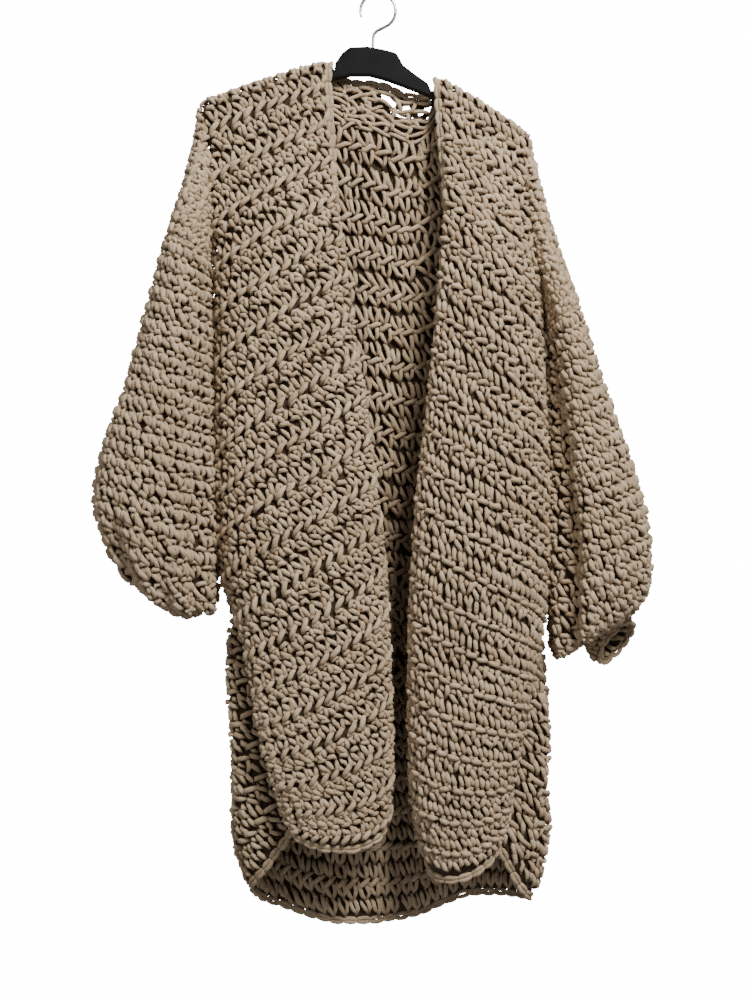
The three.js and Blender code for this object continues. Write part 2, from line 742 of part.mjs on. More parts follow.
/** Shoulder line of a front at a share of its width. */
function shoulderZ(panel, fall, u) {
  return panel.shoulderZ - fall * u + SHOULDER_RISE * Math.sin(Math.PI * u);
}

/** Height that the plain scaling gives an edge of the back, before it is set to the side seam. */
function plainEdge(index, path, last) {
  const top = topZ(index * BACK_COLUMNS);
  const hem = index === 0 ? BACK_HEM[0].z : BACK_HEM[BACK_HEM.length - 1].z;
  return top - (dropAt(path) * (top - hem)) / dropAt(last);
}

/** Keeps a rim's normal in the plane of its seam, so that the two sides stay parallel. */
function seamNormal(normal, plane) {
  return normal.addScaledVector(plane, -normal.dot(plane)).normalize();
}

const MIDDLE_PLANE = new THREE.Vector3(0, 1, 0);
const UNDERARM_NORMAL = new THREE.Vector3(0, 0, -1);

/** Edge band: a soft six-sided strand along a rim, lying outside it in the cloth's own plane. */
function addBand(name, rim) {
  const positions = [];
  const steps = rim.length;
  rim.forEach(({ point, normal, square }, i) => {
    const ahead = rim[Math.min(i + 1, steps - 1)].point;
    const behind = rim[Math.max(i - 1, 0)].point;
    const along = new THREE.Vector3().subVectors(ahead, behind).normalize();
    const before = new THREE.Vector3().subVectors(point, behind);
    const after = new THREE.Vector3().subVectors(ahead, point);
    let out = new THREE.Vector3().crossVectors(along, normal).normalize();
    if (square) {
      out = seamNormal(out, MIDDLE_PLANE);
    }
    let stretch = 1;
    if (before.length() > 0 && after.length() > 0) {
      stretch = 1 / Math.max(MITRE_LIMIT, Math.cos(before.angleTo(after) / 2));
    }
    const centre = point.clone().addScaledVector(normal, -WALL / 2);
    centre.addScaledVector(out, (BAND_GAP + BAND_RADIUS) * stretch);
    for (let k = 0; k < BAND_SIDES; k += 1) {
      const a = (2 * Math.PI * (k + 0.5)) / BAND_SIDES;
      const p = centre.clone();
      p.addScaledVector(out, BAND_RADIUS * Math.cos(a));
      p.addScaledVector(normal, BAND_RADIUS * Math.sin(a));
      positions.push(p.x, p.y, p.z);
    }
  });
  const faces = [];
  for (let i = 0; i < steps - 1; i += 1) {
    for (let k = 0; k < BAND_SIDES; k += 1) {
      const a = i * BAND_SIDES + k;
      const b = i * BAND_SIDES + ((k + 1) % BAND_SIDES);
      faces.push([a, b + BAND_SIDES, b], [a, a + BAND_SIDES, b + BAND_SIDES]);
    }
  }
  const end = (steps - 1) * BAND_SIDES;
  for (let k = 1; k < BAND_SIDES - 1; k += 1) {
    faces.push([0, k, k + 1], [end, end + k + 1, end + k]);
  }
  const geometry = new THREE.BufferGeometry();
  geometry.setAttribute('position', new THREE.Float32BufferAttribute(positions, 3));
  geometry.setIndex(faces.flat());
  geometry.computeVertexNormals();
  addMesh(name, geometry, YARN);
}

/** Points of a lattice's rim with their normals; the first and last may be squared to a seam. */
function rimOf(cells, normals, list, squareFirst, squareLast) {
  return list.map(([i, j], n) => ({
    point: cells[i].get(j),
    normal: normals[i].get(j),
    square: (squareFirst && n === 0) || (squareLast && n === list.length - 1),
  }));
}

/** A front panel and the band round its opening edge, its hem and its slit. */
function addFront(name, bandName, panel, side, armhole, arm) {
  const { sign } = side;
  const key = (j) => sign * j;
  const cells = frontLattice(panel, side, armhole, arm).map(
    (row) => new Map([...row.entries()].map(([j, p]) => [key(j), p])),
  );
  const axis = ringAxis(sign, arm.rings[0]);
  const armRow = FOLD_ROWS.length + panel.armRows - 1;
  const last = cells.length - 1;
  const bandTop = cells.findIndex((row) => row.get(key(FRONT_COLUMNS)).z < side.slitZ - SLIT_RUN);
  const flatten = (normal, i, j) => {
    const c = Math.abs(j);
    if (c === FRONT_COLUMNS + ARM_COLUMNS) {
      const ends = i === 0 || i === armRow;
      return seamNormal(ends ? seamNormal(normal, MIDDLE_PLANE) : normal, axis);
    }
    if (c === FRONT_COLUMNS && i === armRow) {
      return UNDERARM_NORMAL.clone();
    }
    const atSide = c >= FRONT_COLUMNS && i >= armRow && i < bandTop;
    return i === 0 || atSide ? seamNormal(normal, MIDDLE_PLANE) : normal;
  };
  const keep = keepRows(cells.length, [armRow]);
  const { geometry, normals } = clothWall(cells, { wall: WALL, ridge: panelRidge, keep, flatten });
  addMesh(name, geometry, YARN);
  const rim = [];
  for (let i = 0; i <= last; i += 1) {
    rim.push([i, 0]);
  }
  for (let c = 1; c <= FRONT_COLUMNS; c += 1) {
    rim.push([last, key(c)]);
  }
  for (let i = last - 1; i >= bandTop; i -= 1) {
    rim.push([i, key(FRONT_COLUMNS)]);
  }
  if (sign < 0) {
    rim.reverse();
  }
  addBand(bandName, rimOf(cells, normals, rim, sign > 0, sign < 0));
  return cells;
}

/** The back panel, the band along its neck and the one round its slits and hem. */
function addBack() {
  const key = (j) => -j;
  const cells = backLattice().map((row) => new Map([...row.entries()].map(([j, p]) => [key(j), p])));
  const last = cells.length - 1;
  const armRows = [BACK.armRowsLeft, BACK.armRowsRight].map((n) => FOLD_ROWS.length + n - 1);
  const topOf = (j, side) => cells.findIndex((row) => row.get(key(j)).z < side.slitZ - SLIT_RUN);
  const bandLeft = topOf(0, SIDE_LEFT);
  const bandRight = topOf(BACK_COLUMNS, SIDE_RIGHT);
  const axes = [ringAxis(-1, ARM_LEFT.rings[0]), ringAxis(1, ARM_RIGHT.rings[0])];
  const flatten = (normal, i, j) => {
    const c = -j;
    if (c === -ARM_COLUMNS || c === BACK_COLUMNS + ARM_COLUMNS) {
      const ends = i === 0 || i === armRows[c < 0 ? 0 : 1];
      return seamNormal(ends ? seamNormal(normal, MIDDLE_PLANE) : normal, axes[c < 0 ? 0 : 1]);
    }
    if ((c === 0 && i === armRows[0]) || (c === BACK_COLUMNS && i === armRows[1])) {
      return UNDERARM_NORMAL.clone();
    }
    const atNeck = c >= BACK_NECK.first && c <= BACK_NECK.last;
    const atLeft = c <= 0 && i >= armRows[0] && i < bandLeft;
    const atRight = c >= BACK_COLUMNS && i >= armRows[1] && i < bandRight;
    return (i === 0 && !atNeck) || atLeft || atRight ? seamNormal(normal, MIDDLE_PLANE) : normal;
  };
  const keep = keepRows(cells.length, armRows);
  const { geometry, normals } = clothWall(cells, { wall: WALL, ridge: panelRidge, keep, flatten });
  addMesh('back', geometry, YARN);
  const neck = [];
  for (let c = BACK_NECK.first - 1; c <= BACK_NECK.last + 1; c += 1) {
    neck.push([0, key(c)]);
  }
  addBand('band_neck', rimOf(cells, normals, neck, true, true));
  const hem = [];
  for (let i = bandRight; i <= last; i += 1) {
    hem.push([i, key(BACK_COLUMNS)]);
  }
  for (let c = BACK_COLUMNS - 1; c >= 0; c -= 1) {
    hem.push([last, key(c)]);
  }
  for (let i = last - 1; i >= bandLeft; i -= 1) {
    hem.push([i, key(0)]);
  }
  addBand('band_back_hem', rimOf(cells, normals, hem, false, false));
}

/** A balloon sleeve from the dropped armhole to its gathered end, and the small cuff below it. */
function addSleeve(name, cuffName, arm) {
  const { sign, rings, cuff } = arm;
  const rows = rings.map((ring, index) => ({ ...ring, index }));
  const names = ['x', 'y', 'z', 'half', 'depth', 'tilt', 'pitch', 'pleat', 'crease'];
  const ringAt = (index) => Object.fromEntries(names.map((n) => [n, column(rows, 'index', index, n)]));
  const first = ringAxis(sign, rings[0]).multiplyScalar(SEAM_GAP);
  const cells = [];
  for (let i = 0; i <= SLEEVE_RINGS; i += 1) {
    const ring = ringAt(((rings.length - 1) * i) / SLEEVE_RINGS);
    const row = new Map();
    for (let k = 0; k < SLEEVE_SIDES; k += 1) {
      const angle = (2 * Math.PI * k) / SLEEVE_SIDES;
      const fold = ring.pleat * Math.cos(GATHERS * angle);
      const dent = ring.crease * Math.exp(-(((angle - CREASE_ANGLE) / CREASE_WIDTH) ** 2));
      const point = ringPoint(sign, ring, angle, fold - dent).add(first);
      row.set(sign < 0 ? k : (SLEEVE_SIDES - k) % SLEEVE_SIDES, point);
    }
    cells.push(row);
  }
  const flatten = (normal, i) => {
    if (i !== 0 && i !== SLEEVE_RINGS) {
      return normal;
    }
    return seamNormal(normal, ringAxis(sign, i === 0 ? rings[0] : rings[rings.length - 1]));
  };
  const keep = (i) => i % 2 === 0;
  const ridge = () => 0;
  addMesh(name, clothWall(cells, { wall: WALL, closed: true, ridge, keep, flatten }).geometry, YARN);
  const end = rings[rings.length - 1];
  const axis = ringAxis(sign, end);
  const tube = [];
  const profile = [SEAM_GAP * 2, cuff.length / 2, cuff.length];
  profile.forEach((reach, i) => {
    const row = new Map();
    const swell = i === 1 ? CUFF_SWELL : 0;
    const ring = { ...end, half: cuff.half + swell, depth: cuff.depth + swell };
    for (let k = 0; k < CUFF_SIDES; k += 1) {
      const point = ringPoint(sign, ring, (2 * Math.PI * k) / CUFF_SIDES).add(first);
      row.set(sign < 0 ? k : (CUFF_SIDES - k) % CUFF_SIDES, point.addScaledVector(axis, reach));
    }
    tube.push(row);
  });
  const square = (normal) => seamNormal(normal, axis);
  const whole = () => true;
  const options = { wall: CUFF_WALL, closed: true, ridge, keep: whole, flatten: square };
  addMesh(cuffName, clothWall(tube, options).geometry, YARN);
}

/** Flat moulded hanger, bevelled all round, whose arms carry the inside of the shoulder folds. */
function addHanger(left, right) {
  const arm = (cells, sign) => {
    const row = [...cells[0].entries()].filter(([j]) => Math.abs(j) <= FRONT_COLUMNS).map(([, p]) => p);
    row.sort((a, b) => (a.x - b.x) * sign);
    const limit = row[row.length - 1].x - sign * HANGER_END_INSET;
    const inside = row.slice(1).filter((p) => (limit - p.x) * sign > 0);
    return inside.map((p, i) => {
      const a = inside[Math.max(i - 1, 0)];
      const b = inside[Math.min(i + 1, inside.length - 1)];
      const slope = Math.atan2(Math.abs(b.z - a.z), Math.abs(b.x - a.x));
      return { x: p.x, z: p.z - WALL / Math.cos(slope) - HANGER_SEAT };
    });
  };
  const leftTop = arm(left, -1);
  const rightTop = arm(right, 1);
  const depthAt = (i, n) => HANGER_ARM_DEPTH + ((HANGER_TIP_DEPTH - HANGER_ARM_DEPTH) * i) / (n - 1);
  const under = (list) => list.map((p, i) => ({ x: p.x, z: p.z - depthAt(i, list.length) }));
  const outline = [
    ...[...leftTop].reverse(),
    ...HANGER_CREST,
    ...rightTop,
    ...under(rightTop).reverse(),
    ...HANGER_UNDER,
    ...under(leftTop),
  ];
  const inset = HANGER_BEVEL;
  const shape = new THREE.Shape(outline.map((p) => new THREE.Vector2(p.x, p.z)));
  const geometry = new THREE.ExtrudeGeometry(shape, {
    depth: HANGER_THICK - 2 * inset,
    bevelEnabled: true,
    bevelThickness: inset,
    bevelSize: inset,
    bevelOffset: -inset,
    bevelSegments: 1,
  });
  geometry.rotateX(Math.PI / 2);
  geometry.translate(0, HANGER_THICK / 2 - inset, 0);
  addMesh('hanger_body', geometry, PLASTIC);
}

/** Steel hook: a straight neck out of the crest, then an open loop that passes over the rod. */
function addHook() {
  const middle = HOOK_INSIDE + HOOK_WIRE / 2;
  const points = [
    new THREE.Vector3(HOOK_FOOT.x, 0, HOOK_FOOT.z),
    new THREE.Vector3(HOOK_NECK.x, 0, HOOK_NECK.z),
  ];
  for (let k = 0; k <= HOOK_ARC_POINTS; k += 1) {
    const turned = ((HOOK_TIP_ANGLE - HOOK_START_ANGLE) * k) / HOOK_ARC_POINTS;
    const a = radians(HOOK_START_ANGLE + turned);
    points.push(new THREE.Vector3(middle * Math.cos(a), 0, middle * Math.sin(a) - HOOK_INSIDE));
  }
  const ring = new THREE.Shape();
  ring.absarc(0, 0, HOOK_WIRE / 2, 0, 2 * Math.PI, false);
  const geometry = new THREE.ExtrudeGeometry(ring, {
    steps: HOOK_STEPS,
    curveSegments: HOOK_SIDES,
    extrudePath: new THREE.CatmullRomCurve3(points),
  });
  addMesh('hanger_hook', geometry, STEEL);
}

addBack();
const leftCells = addFront('front_left', 'band_front_left', FRONT_LEFT, SIDE_LEFT, ARMHOLE_LEFT, ARM_LEFT);
const rightCells = addFront(
  'front_right',
  'band_front_right',
  FRONT_RIGHT,
  SIDE_RIGHT,
  ARMHOLE_RIGHT,
  ARM_RIGHT,
);
addSleeve('sleeve_left', 'cuff_left', ARM_LEFT);
addSleeve('sleeve_right', 'cuff_right', ARM_RIGHT);
addHanger(leftCells, rightCells);
addHook();

export default group;
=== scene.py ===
from types import SimpleNamespace

import bpy
import numpy as np
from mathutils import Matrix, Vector


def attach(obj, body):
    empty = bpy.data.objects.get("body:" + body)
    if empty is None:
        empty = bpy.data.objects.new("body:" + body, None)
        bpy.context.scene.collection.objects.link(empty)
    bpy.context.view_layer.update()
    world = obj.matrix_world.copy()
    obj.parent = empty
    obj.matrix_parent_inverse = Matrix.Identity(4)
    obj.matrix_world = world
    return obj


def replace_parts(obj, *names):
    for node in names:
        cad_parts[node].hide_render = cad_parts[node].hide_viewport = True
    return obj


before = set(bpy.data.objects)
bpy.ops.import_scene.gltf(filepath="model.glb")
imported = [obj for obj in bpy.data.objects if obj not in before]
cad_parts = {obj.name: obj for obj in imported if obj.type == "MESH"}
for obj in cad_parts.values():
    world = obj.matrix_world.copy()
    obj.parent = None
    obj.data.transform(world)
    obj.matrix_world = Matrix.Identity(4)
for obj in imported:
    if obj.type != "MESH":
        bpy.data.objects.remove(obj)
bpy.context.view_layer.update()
draw = np.random.default_rng(7)

# The back panel: crocheted in one piece from the shoulders down in thick plush chenille yarn,
# rows of half double crochet 21.5 mm high with a raised ridge of slanted loops every second row.
# It turns over the hanger at the top, wraps round the sides at the slits, and its hem is round.
# Lengths are in millimetres, and a piece is turned to metres when it is made.
HALF_ROW = 21.5
ROW_STEP = HALF_ROW / 4
WALL = 7.0
FOLD_RADIUS = 20.0
FOLD_QUARTER = np.pi / 2 * FOLD_RADIUS
HALF_SEAM = 0.2
SECTION = 48
STITCH = 15.6
YARN_RADIUS, RIDGE_RADIUS = 2.95, 3.2
# How far a loop's ends are sunk, and the heights off the cloth at which the painted shade of the pile low
# between the loops is full and at which it ends.
END_SINK = 0.6
FULL_PAINTED_SHADE_HEIGHT, NO_PAINTED_SHADE_HEIGHT = -3.4, 2.6
BACKWARD, FORWARD = np.array([0, 1.0, 0]), np.array([0, -1.0, 0])
NEAR = 1e-6
MM = 1000

ARMHOLE = {-1: dict(path=[0, 30, 90, 150, 172], x=[-221, -216, -207, -204, -203],
                    front=[20, 20, 17, 12, 0], back=[20, 20, 18, 13, 0]),
           1: dict(path=[0, 30, 90, 193, 215], x=[186, 184, 187, 202, 204],
                   front=[20, 20, 18, 12, 0], back=[20, 20, 18, 13, 0])}
SIDE = {-1: dict(z=[-1060, -1035, -994, -941, -885, -829, -800, -775, -750, -715, -600, -450, -325],
                 x=[-102, -108, -122, -139, -150, -160, -167, -176, -186, -197, -201, -202, -203],
                 y=[-57, -56, -55, -52, -48, -38, -28, -16, -6, 0, 0, 0, 0]),
        1: dict(z=[-1060, -1045, -1011, -956, -894, -840, -810, -785, -760, -725, -650, -530, -410],
                x=[146, 150, 157, 168, 182, 192, 198, 203, 208, 212, 213, 209, 204],
                y=[-53, -52, -50, -46, -40, -32, -24, -14, -5, 0, 0, 0, 0])}
SLIT_Z = {-1: -725, 1: -735}
SLIT_OPENING, SLIT_RUN = 22.0, 60.0
WRAP = {-1: dict(z=[-1130, -1090, -1050, -1000, -870, -790, -738],
                 x=[-143, -153, -168, -182, -186, -192, -198], y=[6, 2, 0, 0, 0, 2, 2]),
        1: dict(z=[-1130, -1090, -1053, -1000, -870, -790, -745],
                x=[172, 192, 206, 216, 211, 213, 213], y=[6, 2, 0, 0, 0, 2, 2])}
BACK_HALF_ROWS, BACK_COLUMNS, BACK_FINE = 48, 16, 5
BACK_FORM = dict(path=[0, 60, 215, 430, 640, 850, 1032], bulge=[0, 2, 12, 22, 30, 32, 30],
                 wave=[0, 0, 0, 3, 8, 14, 18])
BACK_HEM = dict(u=[0, .07, .15, .25, .42, .56, .68, .8, .88, .94, 1],
                z=[-1034, -1086, -1120, -1145, -1163, -1160, -1137, -1129, -1126, -1108, -1050])
BACK_NECK_LINE = dict(x=[-60, -36, -8, 20, 52, 70], z=[-101, -108, -110, -117, -130, -127])
NECK_COLUMN_X = [-60, -30, 5, 40, 70]
NECK_FIRST, NECK_LAST = 6, 10
ARM_END = {-1: dict(x=-236, z=-318, half=29, depth=56, tilt=27, path=10 * HALF_ROW, pit=-325),
           1: dict(x=229, z=-404, half=23, depth=56, tilt=33, path=12 * HALF_ROW, pit=-410)}
SHOULDER_RISE, SHOULDER_RUN = 3.0, 100.0
SHOULDER = {-1: dict(z=-85, fall=51, x_in=-66, x_out=-221), 1: dict(z=-106, fall=69, x_in=78, x_out=186)}
ARM_SWELL, ARM_DIP = 10.0, 10.0
WAVE_CREST, WAVE_LENGTH, WAVE_START = -50.0, 300.0, 10.0
TURN_REACH, TURN_RATIO = 70.0, 1.6
WRAP_ANGLE, WRAP_LEAD, WRAP_DEPTH = np.radians(80), 30.0, 6.0
TOP_RUN, SIDE_SHARE = 180.0, 0.3


def smooth(keys, values, at):
    """Cubic through every value with the harmonic mean of the slopes on its two sides as tangent,
    or none where the slope turns, so that it never overshoots; held past the ends."""
    keys, values = np.asarray(keys, float), np.asarray(values, float)
    at = np.clip(at, keys[0], keys[-1])
    wide = (-1,) + (1,) * (values.ndim - 1)
    step = np.diff(keys)
    slope = np.diff(values, axis=0) / step.reshape(wide)
    before, after = slope[:-1], slope[1:]
    same = before * after > 0
    bend = np.where(same, 2 * before * after / np.where(same, before + after, 1), 0)
    tangent = np.concatenate([slope[:1], bend, slope[-1:]])
    i = np.clip(np.searchsorted(keys, at) - 1, 0, len(keys) - 2)
    span = step[i].reshape(wide)
    t = (at - keys[i]).reshape(wide) / span
    return ((2 * t**3 - 3 * t**2 + 1) * values[i] + (t**3 - 2 * t**2 + t) * span * tangent[i]
            + (3 * t**2 - 2 * t**3) * values[i + 1] + (t**3 - t**2) * span * tangent[i + 1])


def column(table, key, name, at):
    """One named column of a table at a key."""
    return smooth(table[key], table[name], at)


def fold_drop(path):
    """Height lost by cloth that first turns over a quarter round, then hangs straight."""
    return np.where(path < FOLD_QUARTER, FOLD_RADIUS * (1 - np.cos(path / FOLD_RADIUS)),
                    FOLD_RADIUS + path - FOLD_QUARTER)


def fold_depth(path):
    """Distance from the middle plane after the same length."""
    return FOLD_RADIUS * np.sin(np.minimum(path / FOLD_RADIUS, np.pi / 2))


def even_columns(x, y, columns):
    """Points at equal lengths along each row's line in plan, by its running sum of steps."""
    reach = np.cumsum(np.hypot(np.diff(x, prepend=x[:, :1]), np.diff(y, prepend=y[:, :1])), axis=1)
    at = reach[:, -1:] * np.linspace(0, 1, columns + 1)
    return [np.array([np.interp(a, r, v) for a, r, v in zip(at, reach, c)]) for c in (x, y)]


def shoulder_height(sign, u):
    """Straight fall of the shoulder line with a slight rise in its middle."""
    s = SHOULDER[sign]
    return s["z"] - s["fall"] * u + SHOULDER_RISE * np.sin(np.pi * u)


def arm_ring(sign, ring, angle, grow=0.0):
    """Ellipse round the arm from its outermost line over the front, tilted up at the outside and
    pitched down at the front."""
    tilt, pitch = np.radians(ring["tilt"]), np.radians(ring.get("pitch", 0.0))
    across = (ring["half"] + grow) * np.cos(angle)
    deep = (ring["depth"] + grow) * np.sin(angle)
    return np.stack([ring["x"] + sign * np.cos(tilt) * across,
                     ring.get("y", 0.0) - np.cos(pitch) * deep,
                     ring["z"] + np.sin(tilt) * across - np.sin(pitch) * deep], axis=-1)


def over_arm(sign, facing, edge, path, arm_path, columns=36):
    """Quadratic curve from each row's end on the body to the armhole ring, with its middle pulled
    in off the shoulder and swollen in front of and behind the arm."""
    angle = np.pi * path / arm_path
    ring = arm_ring(sign, ARM_END[sign], -facing * angle)
    ring[:, 1] += facing * HALF_SEAM
    middle = (edge + ring) / 2
    middle[:, 0] -= sign * ARM_DIP * np.cos(angle)
    middle[:, 1] += facing * ARM_SWELL * np.sin(angle)
    v = np.linspace(0, 1, columns + 1)[None, :, None]
    return (1 - v)**2 * edge[:, None] + 2 * v * (1 - v) * middle[:, None] + v**2 * ring[:, None]


def unit(vectors):
    """Vectors over their lengths."""
    return vectors / np.maximum(np.linalg.norm(vectors, axis=-1, keepdims=True), 1e-9)


def cloth(points, reach, outward, closed=False):
    """A lattice of cloth with its unit normals, the cross product of the two lattice directions
    turned to the side that outward gives, and the fall of its rows, the sine of their slope."""
    if closed:
        wide = np.concatenate([points[:, -1:], points, points[:, :1]], axis=1)
        across = (wide[:, 2:] - wide[:, :-2]) / 2
    else:
        across = np.gradient(points, axis=1)
    down = np.gradient(points, axis=0)
    normals = unit(np.cross(down, across))
    if np.mean(np.sum(normals * outward, axis=2)) < 0:
        normals = -normals
    fall = np.sum(unit(across) * unit(down), axis=2, keepdims=True)
    return SimpleNamespace(points=points, normals=normals, reach=np.asarray(reach, float),
                           closed=closed, across=across, down=down, fall=fall, skew=0.0)


def back_surface():
    """Columns at equal lengths in plan: wrap, quarter turn, flat back, quarter turn, wrap; heights
    fall from the top line to the hem in step with the path, and are set to the seams at the sides."""
    path = np.arange(BACK_HALF_ROWS * 4 + 1) * ROW_STEP
    drop, depth = fold_drop(path), fold_depth(path)
    last = drop[-1]
    j = np.arange(BACK_COLUMNS + 1)
    left, right = SHOULDER[-1], SHOULDER[1]
    top_x = np.concatenate([np.linspace(left["x_out"], left["x_in"], NECK_FIRST), NECK_COLUMN_X,
                            np.linspace(right["x_in"], right["x_out"], BACK_COLUMNS - NECK_LAST)])
    left_u, right_u = [(top_x - s["x_in"]) / (s["x_out"] - s["x_in"]) for s in (left, right)]
    top_z = np.where(j < NECK_FIRST, shoulder_height(-1, left_u),
                     np.where(j > NECK_LAST, shoulder_height(1, right_u),
                              column(BACK_NECK_LINE, "x", "z", top_x)))
    y_back = (HALF_SEAM + depth + column(BACK_FORM, "path", "bulge", path))[:, None]
    half = SECTION // 2
    k = np.arange(half + 1)[None, :] / half
    wrap_angle, turn_angle = WRAP_ANGLE * k, np.pi / 2 * k
    heights, x_lines, y_lines = {}, {}, {}
    for sign, end in ((-1, 0), (1, -1)):
        arm, side, wrap, hole = ARM_END[sign], SIDE[sign], WRAP[sign], ARMHOLE[sign]
        top, hem = top_z[end], BACK_HEM["z"][end]
        arm_drop = fold_drop(np.array(arm["path"]))
        on_arm = path <= arm["path"] + NEAR
        z = np.where(on_arm, top + (arm["pit"] - top) * drop / arm_drop,
                     arm["pit"] + (hem - arm["pit"]) * (drop - arm_drop) / (last - arm_drop))
        scaled = path * hole["path"][-1] / arm["path"]
        t = np.clip((SLIT_Z[sign] - z) / SLIT_RUN, 0, 1)
        gap = SLIT_OPENING * t * t * (3 - 2 * t)
        x = np.where(on_arm, column(hole, "path", "x", scaled), column(side, "z", "x", z))
        y = np.where(on_arm, np.minimum(depth, column(hole, "path", "back", scaled)) + HALF_SEAM,
                     column(side, "z", "y", z) + HALF_SEAM + gap)
        share = np.where(on_arm | (z > SLIT_Z[sign]), 0, gap / SLIT_OPENING)
        side_x = x + (column(wrap, "z", "x", z - WRAP_LEAD) - x) * share
        side_y = y + (np.maximum(column(wrap, "z", "y", z - WRAP_LEAD), y + WRAP_DEPTH) - y) * share
        heights[sign], x, y, side_x, side_y = [v[:, None] for v in (z, x, y, side_x, side_y)]
        wrap_x = side_x + (x - side_x) / (1 - np.cos(WRAP_ANGLE)) * (1 - np.cos(wrap_angle))
        wrap_y = side_y - (side_y - y) / np.sin(WRAP_ANGLE) * np.sin(wrap_angle)
        reach = np.minimum(TURN_REACH, (y_back - side_y) * TURN_RATIO)
        turn_x = side_x - sign * reach * (1 - np.cos(turn_angle))
        turn_y = side_y + (y_back - side_y) * np.sin(turn_angle)
        x_lines[sign] = np.hstack([wrap_x[:, :0:-1], turn_x])
        y_lines[sign] = np.hstack([wrap_y[:, :0:-1], turn_y])
    start = x_lines[-1][:, -1:]
    flat_x = start + (x_lines[1][:, -1:] - start) * np.arange(1, SECTION)[None, :] / SECTION
    x = np.hstack([x_lines[-1], flat_x, x_lines[1][:, ::-1]])
    y = np.hstack([y_lines[-1], y_back + 0 * flat_x, y_lines[1][:, ::-1]])
    deep = np.maximum(0, y - WAVE_START) / np.maximum(y_back - WAVE_START, 1)
    wave = column(BACK_FORM, "path", "wave", path)[:, None]
    y = y - wave * deep * np.cos((x - WAVE_CREST) * 2 * np.pi / WAVE_LENGTH)
    x, y = even_columns(x, y, BACK_COLUMNS)
    u = j / BACK_COLUMNS
    share = np.maximum(0, 1 - path / TOP_RUN)[:, None]
    spread = top_x * share + x * (1 - share)
    spread[:, [0, -1]] = x[:, [0, -1]]
    hem = column(BACK_HEM, "u", "z", u)
    z = top_z - drop[:, None] * (top_z - hem) / last
    near_left, near_right = [np.maximum(0, 1 - v / SIDE_SHARE)**2 for v in (u, 1 - u)]
    z = z + near_left * (heights[-1] - z[:, :1]) + near_right * (heights[1] - z[:, -1:])
    neck = (j >= NECK_FIRST) & (j <= NECK_LAST) & (path[:, None] < FOLD_QUARTER)
    y = np.where(neck, HALF_SEAM + FOLD_RADIUS, y)
    z = np.where(neck, top_z - path[:, None] / path[-1] * (top_z - hem), z)
    coarse = np.stack([spread, y, z], axis=-1)
    at = np.linspace(0, BACK_COLUMNS, BACK_COLUMNS * BACK_FINE + 1)
    fine = smooth(j, coarse.transpose(1, 0, 2), at)
    return path, fine.transpose(1, 0, 2)


# A place past the last cell of a lattice is held this far short of its end.
INSIDE_LAST = 1.001


def on_cloth(sheet, path, place):
    """Point, normal and fall at a path and a share of the width: the weighted mean of the four
    lattice points around it."""
    rows, columns = sheet.points.shape[:2]
    r = np.clip(np.interp(path, sheet.reach, np.arange(rows)), 0, rows - INSIDE_LAST)
    i = r.astype(int)
    if sheet.closed:
        c = (place % 1) * columns
        k = np.minimum(c.astype(int), columns - 1)
        after = (k + 1) % columns
    else:
        c = np.clip(place * (columns - 1), 0, columns - INSIDE_LAST)
        k = c.astype(int)
        after = k + 1
    fr, fc = (r - i)[..., None], (c - k)[..., None]

    def mean(grid):
        return ((1 - fr) * ((1 - fc) * grid[i, k] + fc * grid[i, after])
                + fr * ((1 - fc) * grid[i + 1, k] + fc * grid[i + 1, after]))

    return mean(sheet.points), unit(mean(sheet.normals)), mean(sheet.fall)[..., 0]


SIDES = 6
RING_ANGLE = np.arange(SIDES) * 2 * np.pi / SIDES + np.pi / 6
END_CAP = np.array([[0, 1, 2, 3], [0, 3, 4, 5]])


def strand_mesh(centres, normals, radius, tone, height):
    """Round strands carried along their centre lines, an array of strands by points: each ring
    lies square to the line, and flat fans close the ends. All faces have four corners. Every
    corner keeps its strand's tone and its own level, the line's height plus the ring's rise; the
    yarn's material darkens low levels as painted shade."""
    count, points = centres.shape[:2]
    along = unit(np.gradient(centres, axis=1))
    sideways = unit(np.cross(along, normals))
    proud = np.cross(sideways, along)
    r = np.broadcast_to(radius, (count, points))[..., None, None]
    cos, sin = np.cos(RING_ANGLE)[:, None], np.sin(RING_ANGLE)[:, None]
    verts = centres[:, :, None] + r * (cos * sideways[:, :, None] + sin * proud[:, :, None])
    k, a = np.meshgrid(np.arange(points - 1), np.arange(SIDES), indexing="ij")
    b = (a + 1) % SIDES
    tube = np.stack([k * SIDES + a, (k + 1) * SIDES + a, (k + 1) * SIDES + b, k * SIDES + b], axis=-1)
    one = np.vstack([tube.reshape(-1, 4), END_CAP, END_CAP[:, ::-1] + (points - 1) * SIDES])
    faces = one[None] + (np.arange(count) * points * SIDES)[:, None, None]
    level = np.broadcast_to(height, (count, points))[..., None] + r[..., 0] * sin[:, 0]
    tones = np.broadcast_to(np.reshape(tone, (-1, 1, 1)), level.shape)
    return verts.reshape(-1, 3), faces.reshape(-1, 4), np.stack([tones, level], -1).reshape(-1, 2)


def loop_shape(controls, points):
    """Even points on Catmull-Rom curves through each loop's few control points, an array of
    loops by controls by columns: to the right, down, and out from the wall."""
    c = np.concatenate([2 * controls[:, :1] - controls[:, 1:2], controls,
                        2 * controls[:, -1:] - controls[:, -2:-1]], axis=1)
    t = np.linspace(0, c.shape[1] - 3, points)
    i = np.minimum(t.astype(int), c.shape[1] - 4)
    f = (t - i)[None, :, None]
    a, b, d, e = c[:, i], c[:, i + 1], c[:, i + 2], c[:, i + 3]
    return 0.5 * (2 * b + (d - a) * f + (2 * a - 5 * b + 4 * d - e) * f**2 + (3 * b - a - 3 * d + e) * f**3)


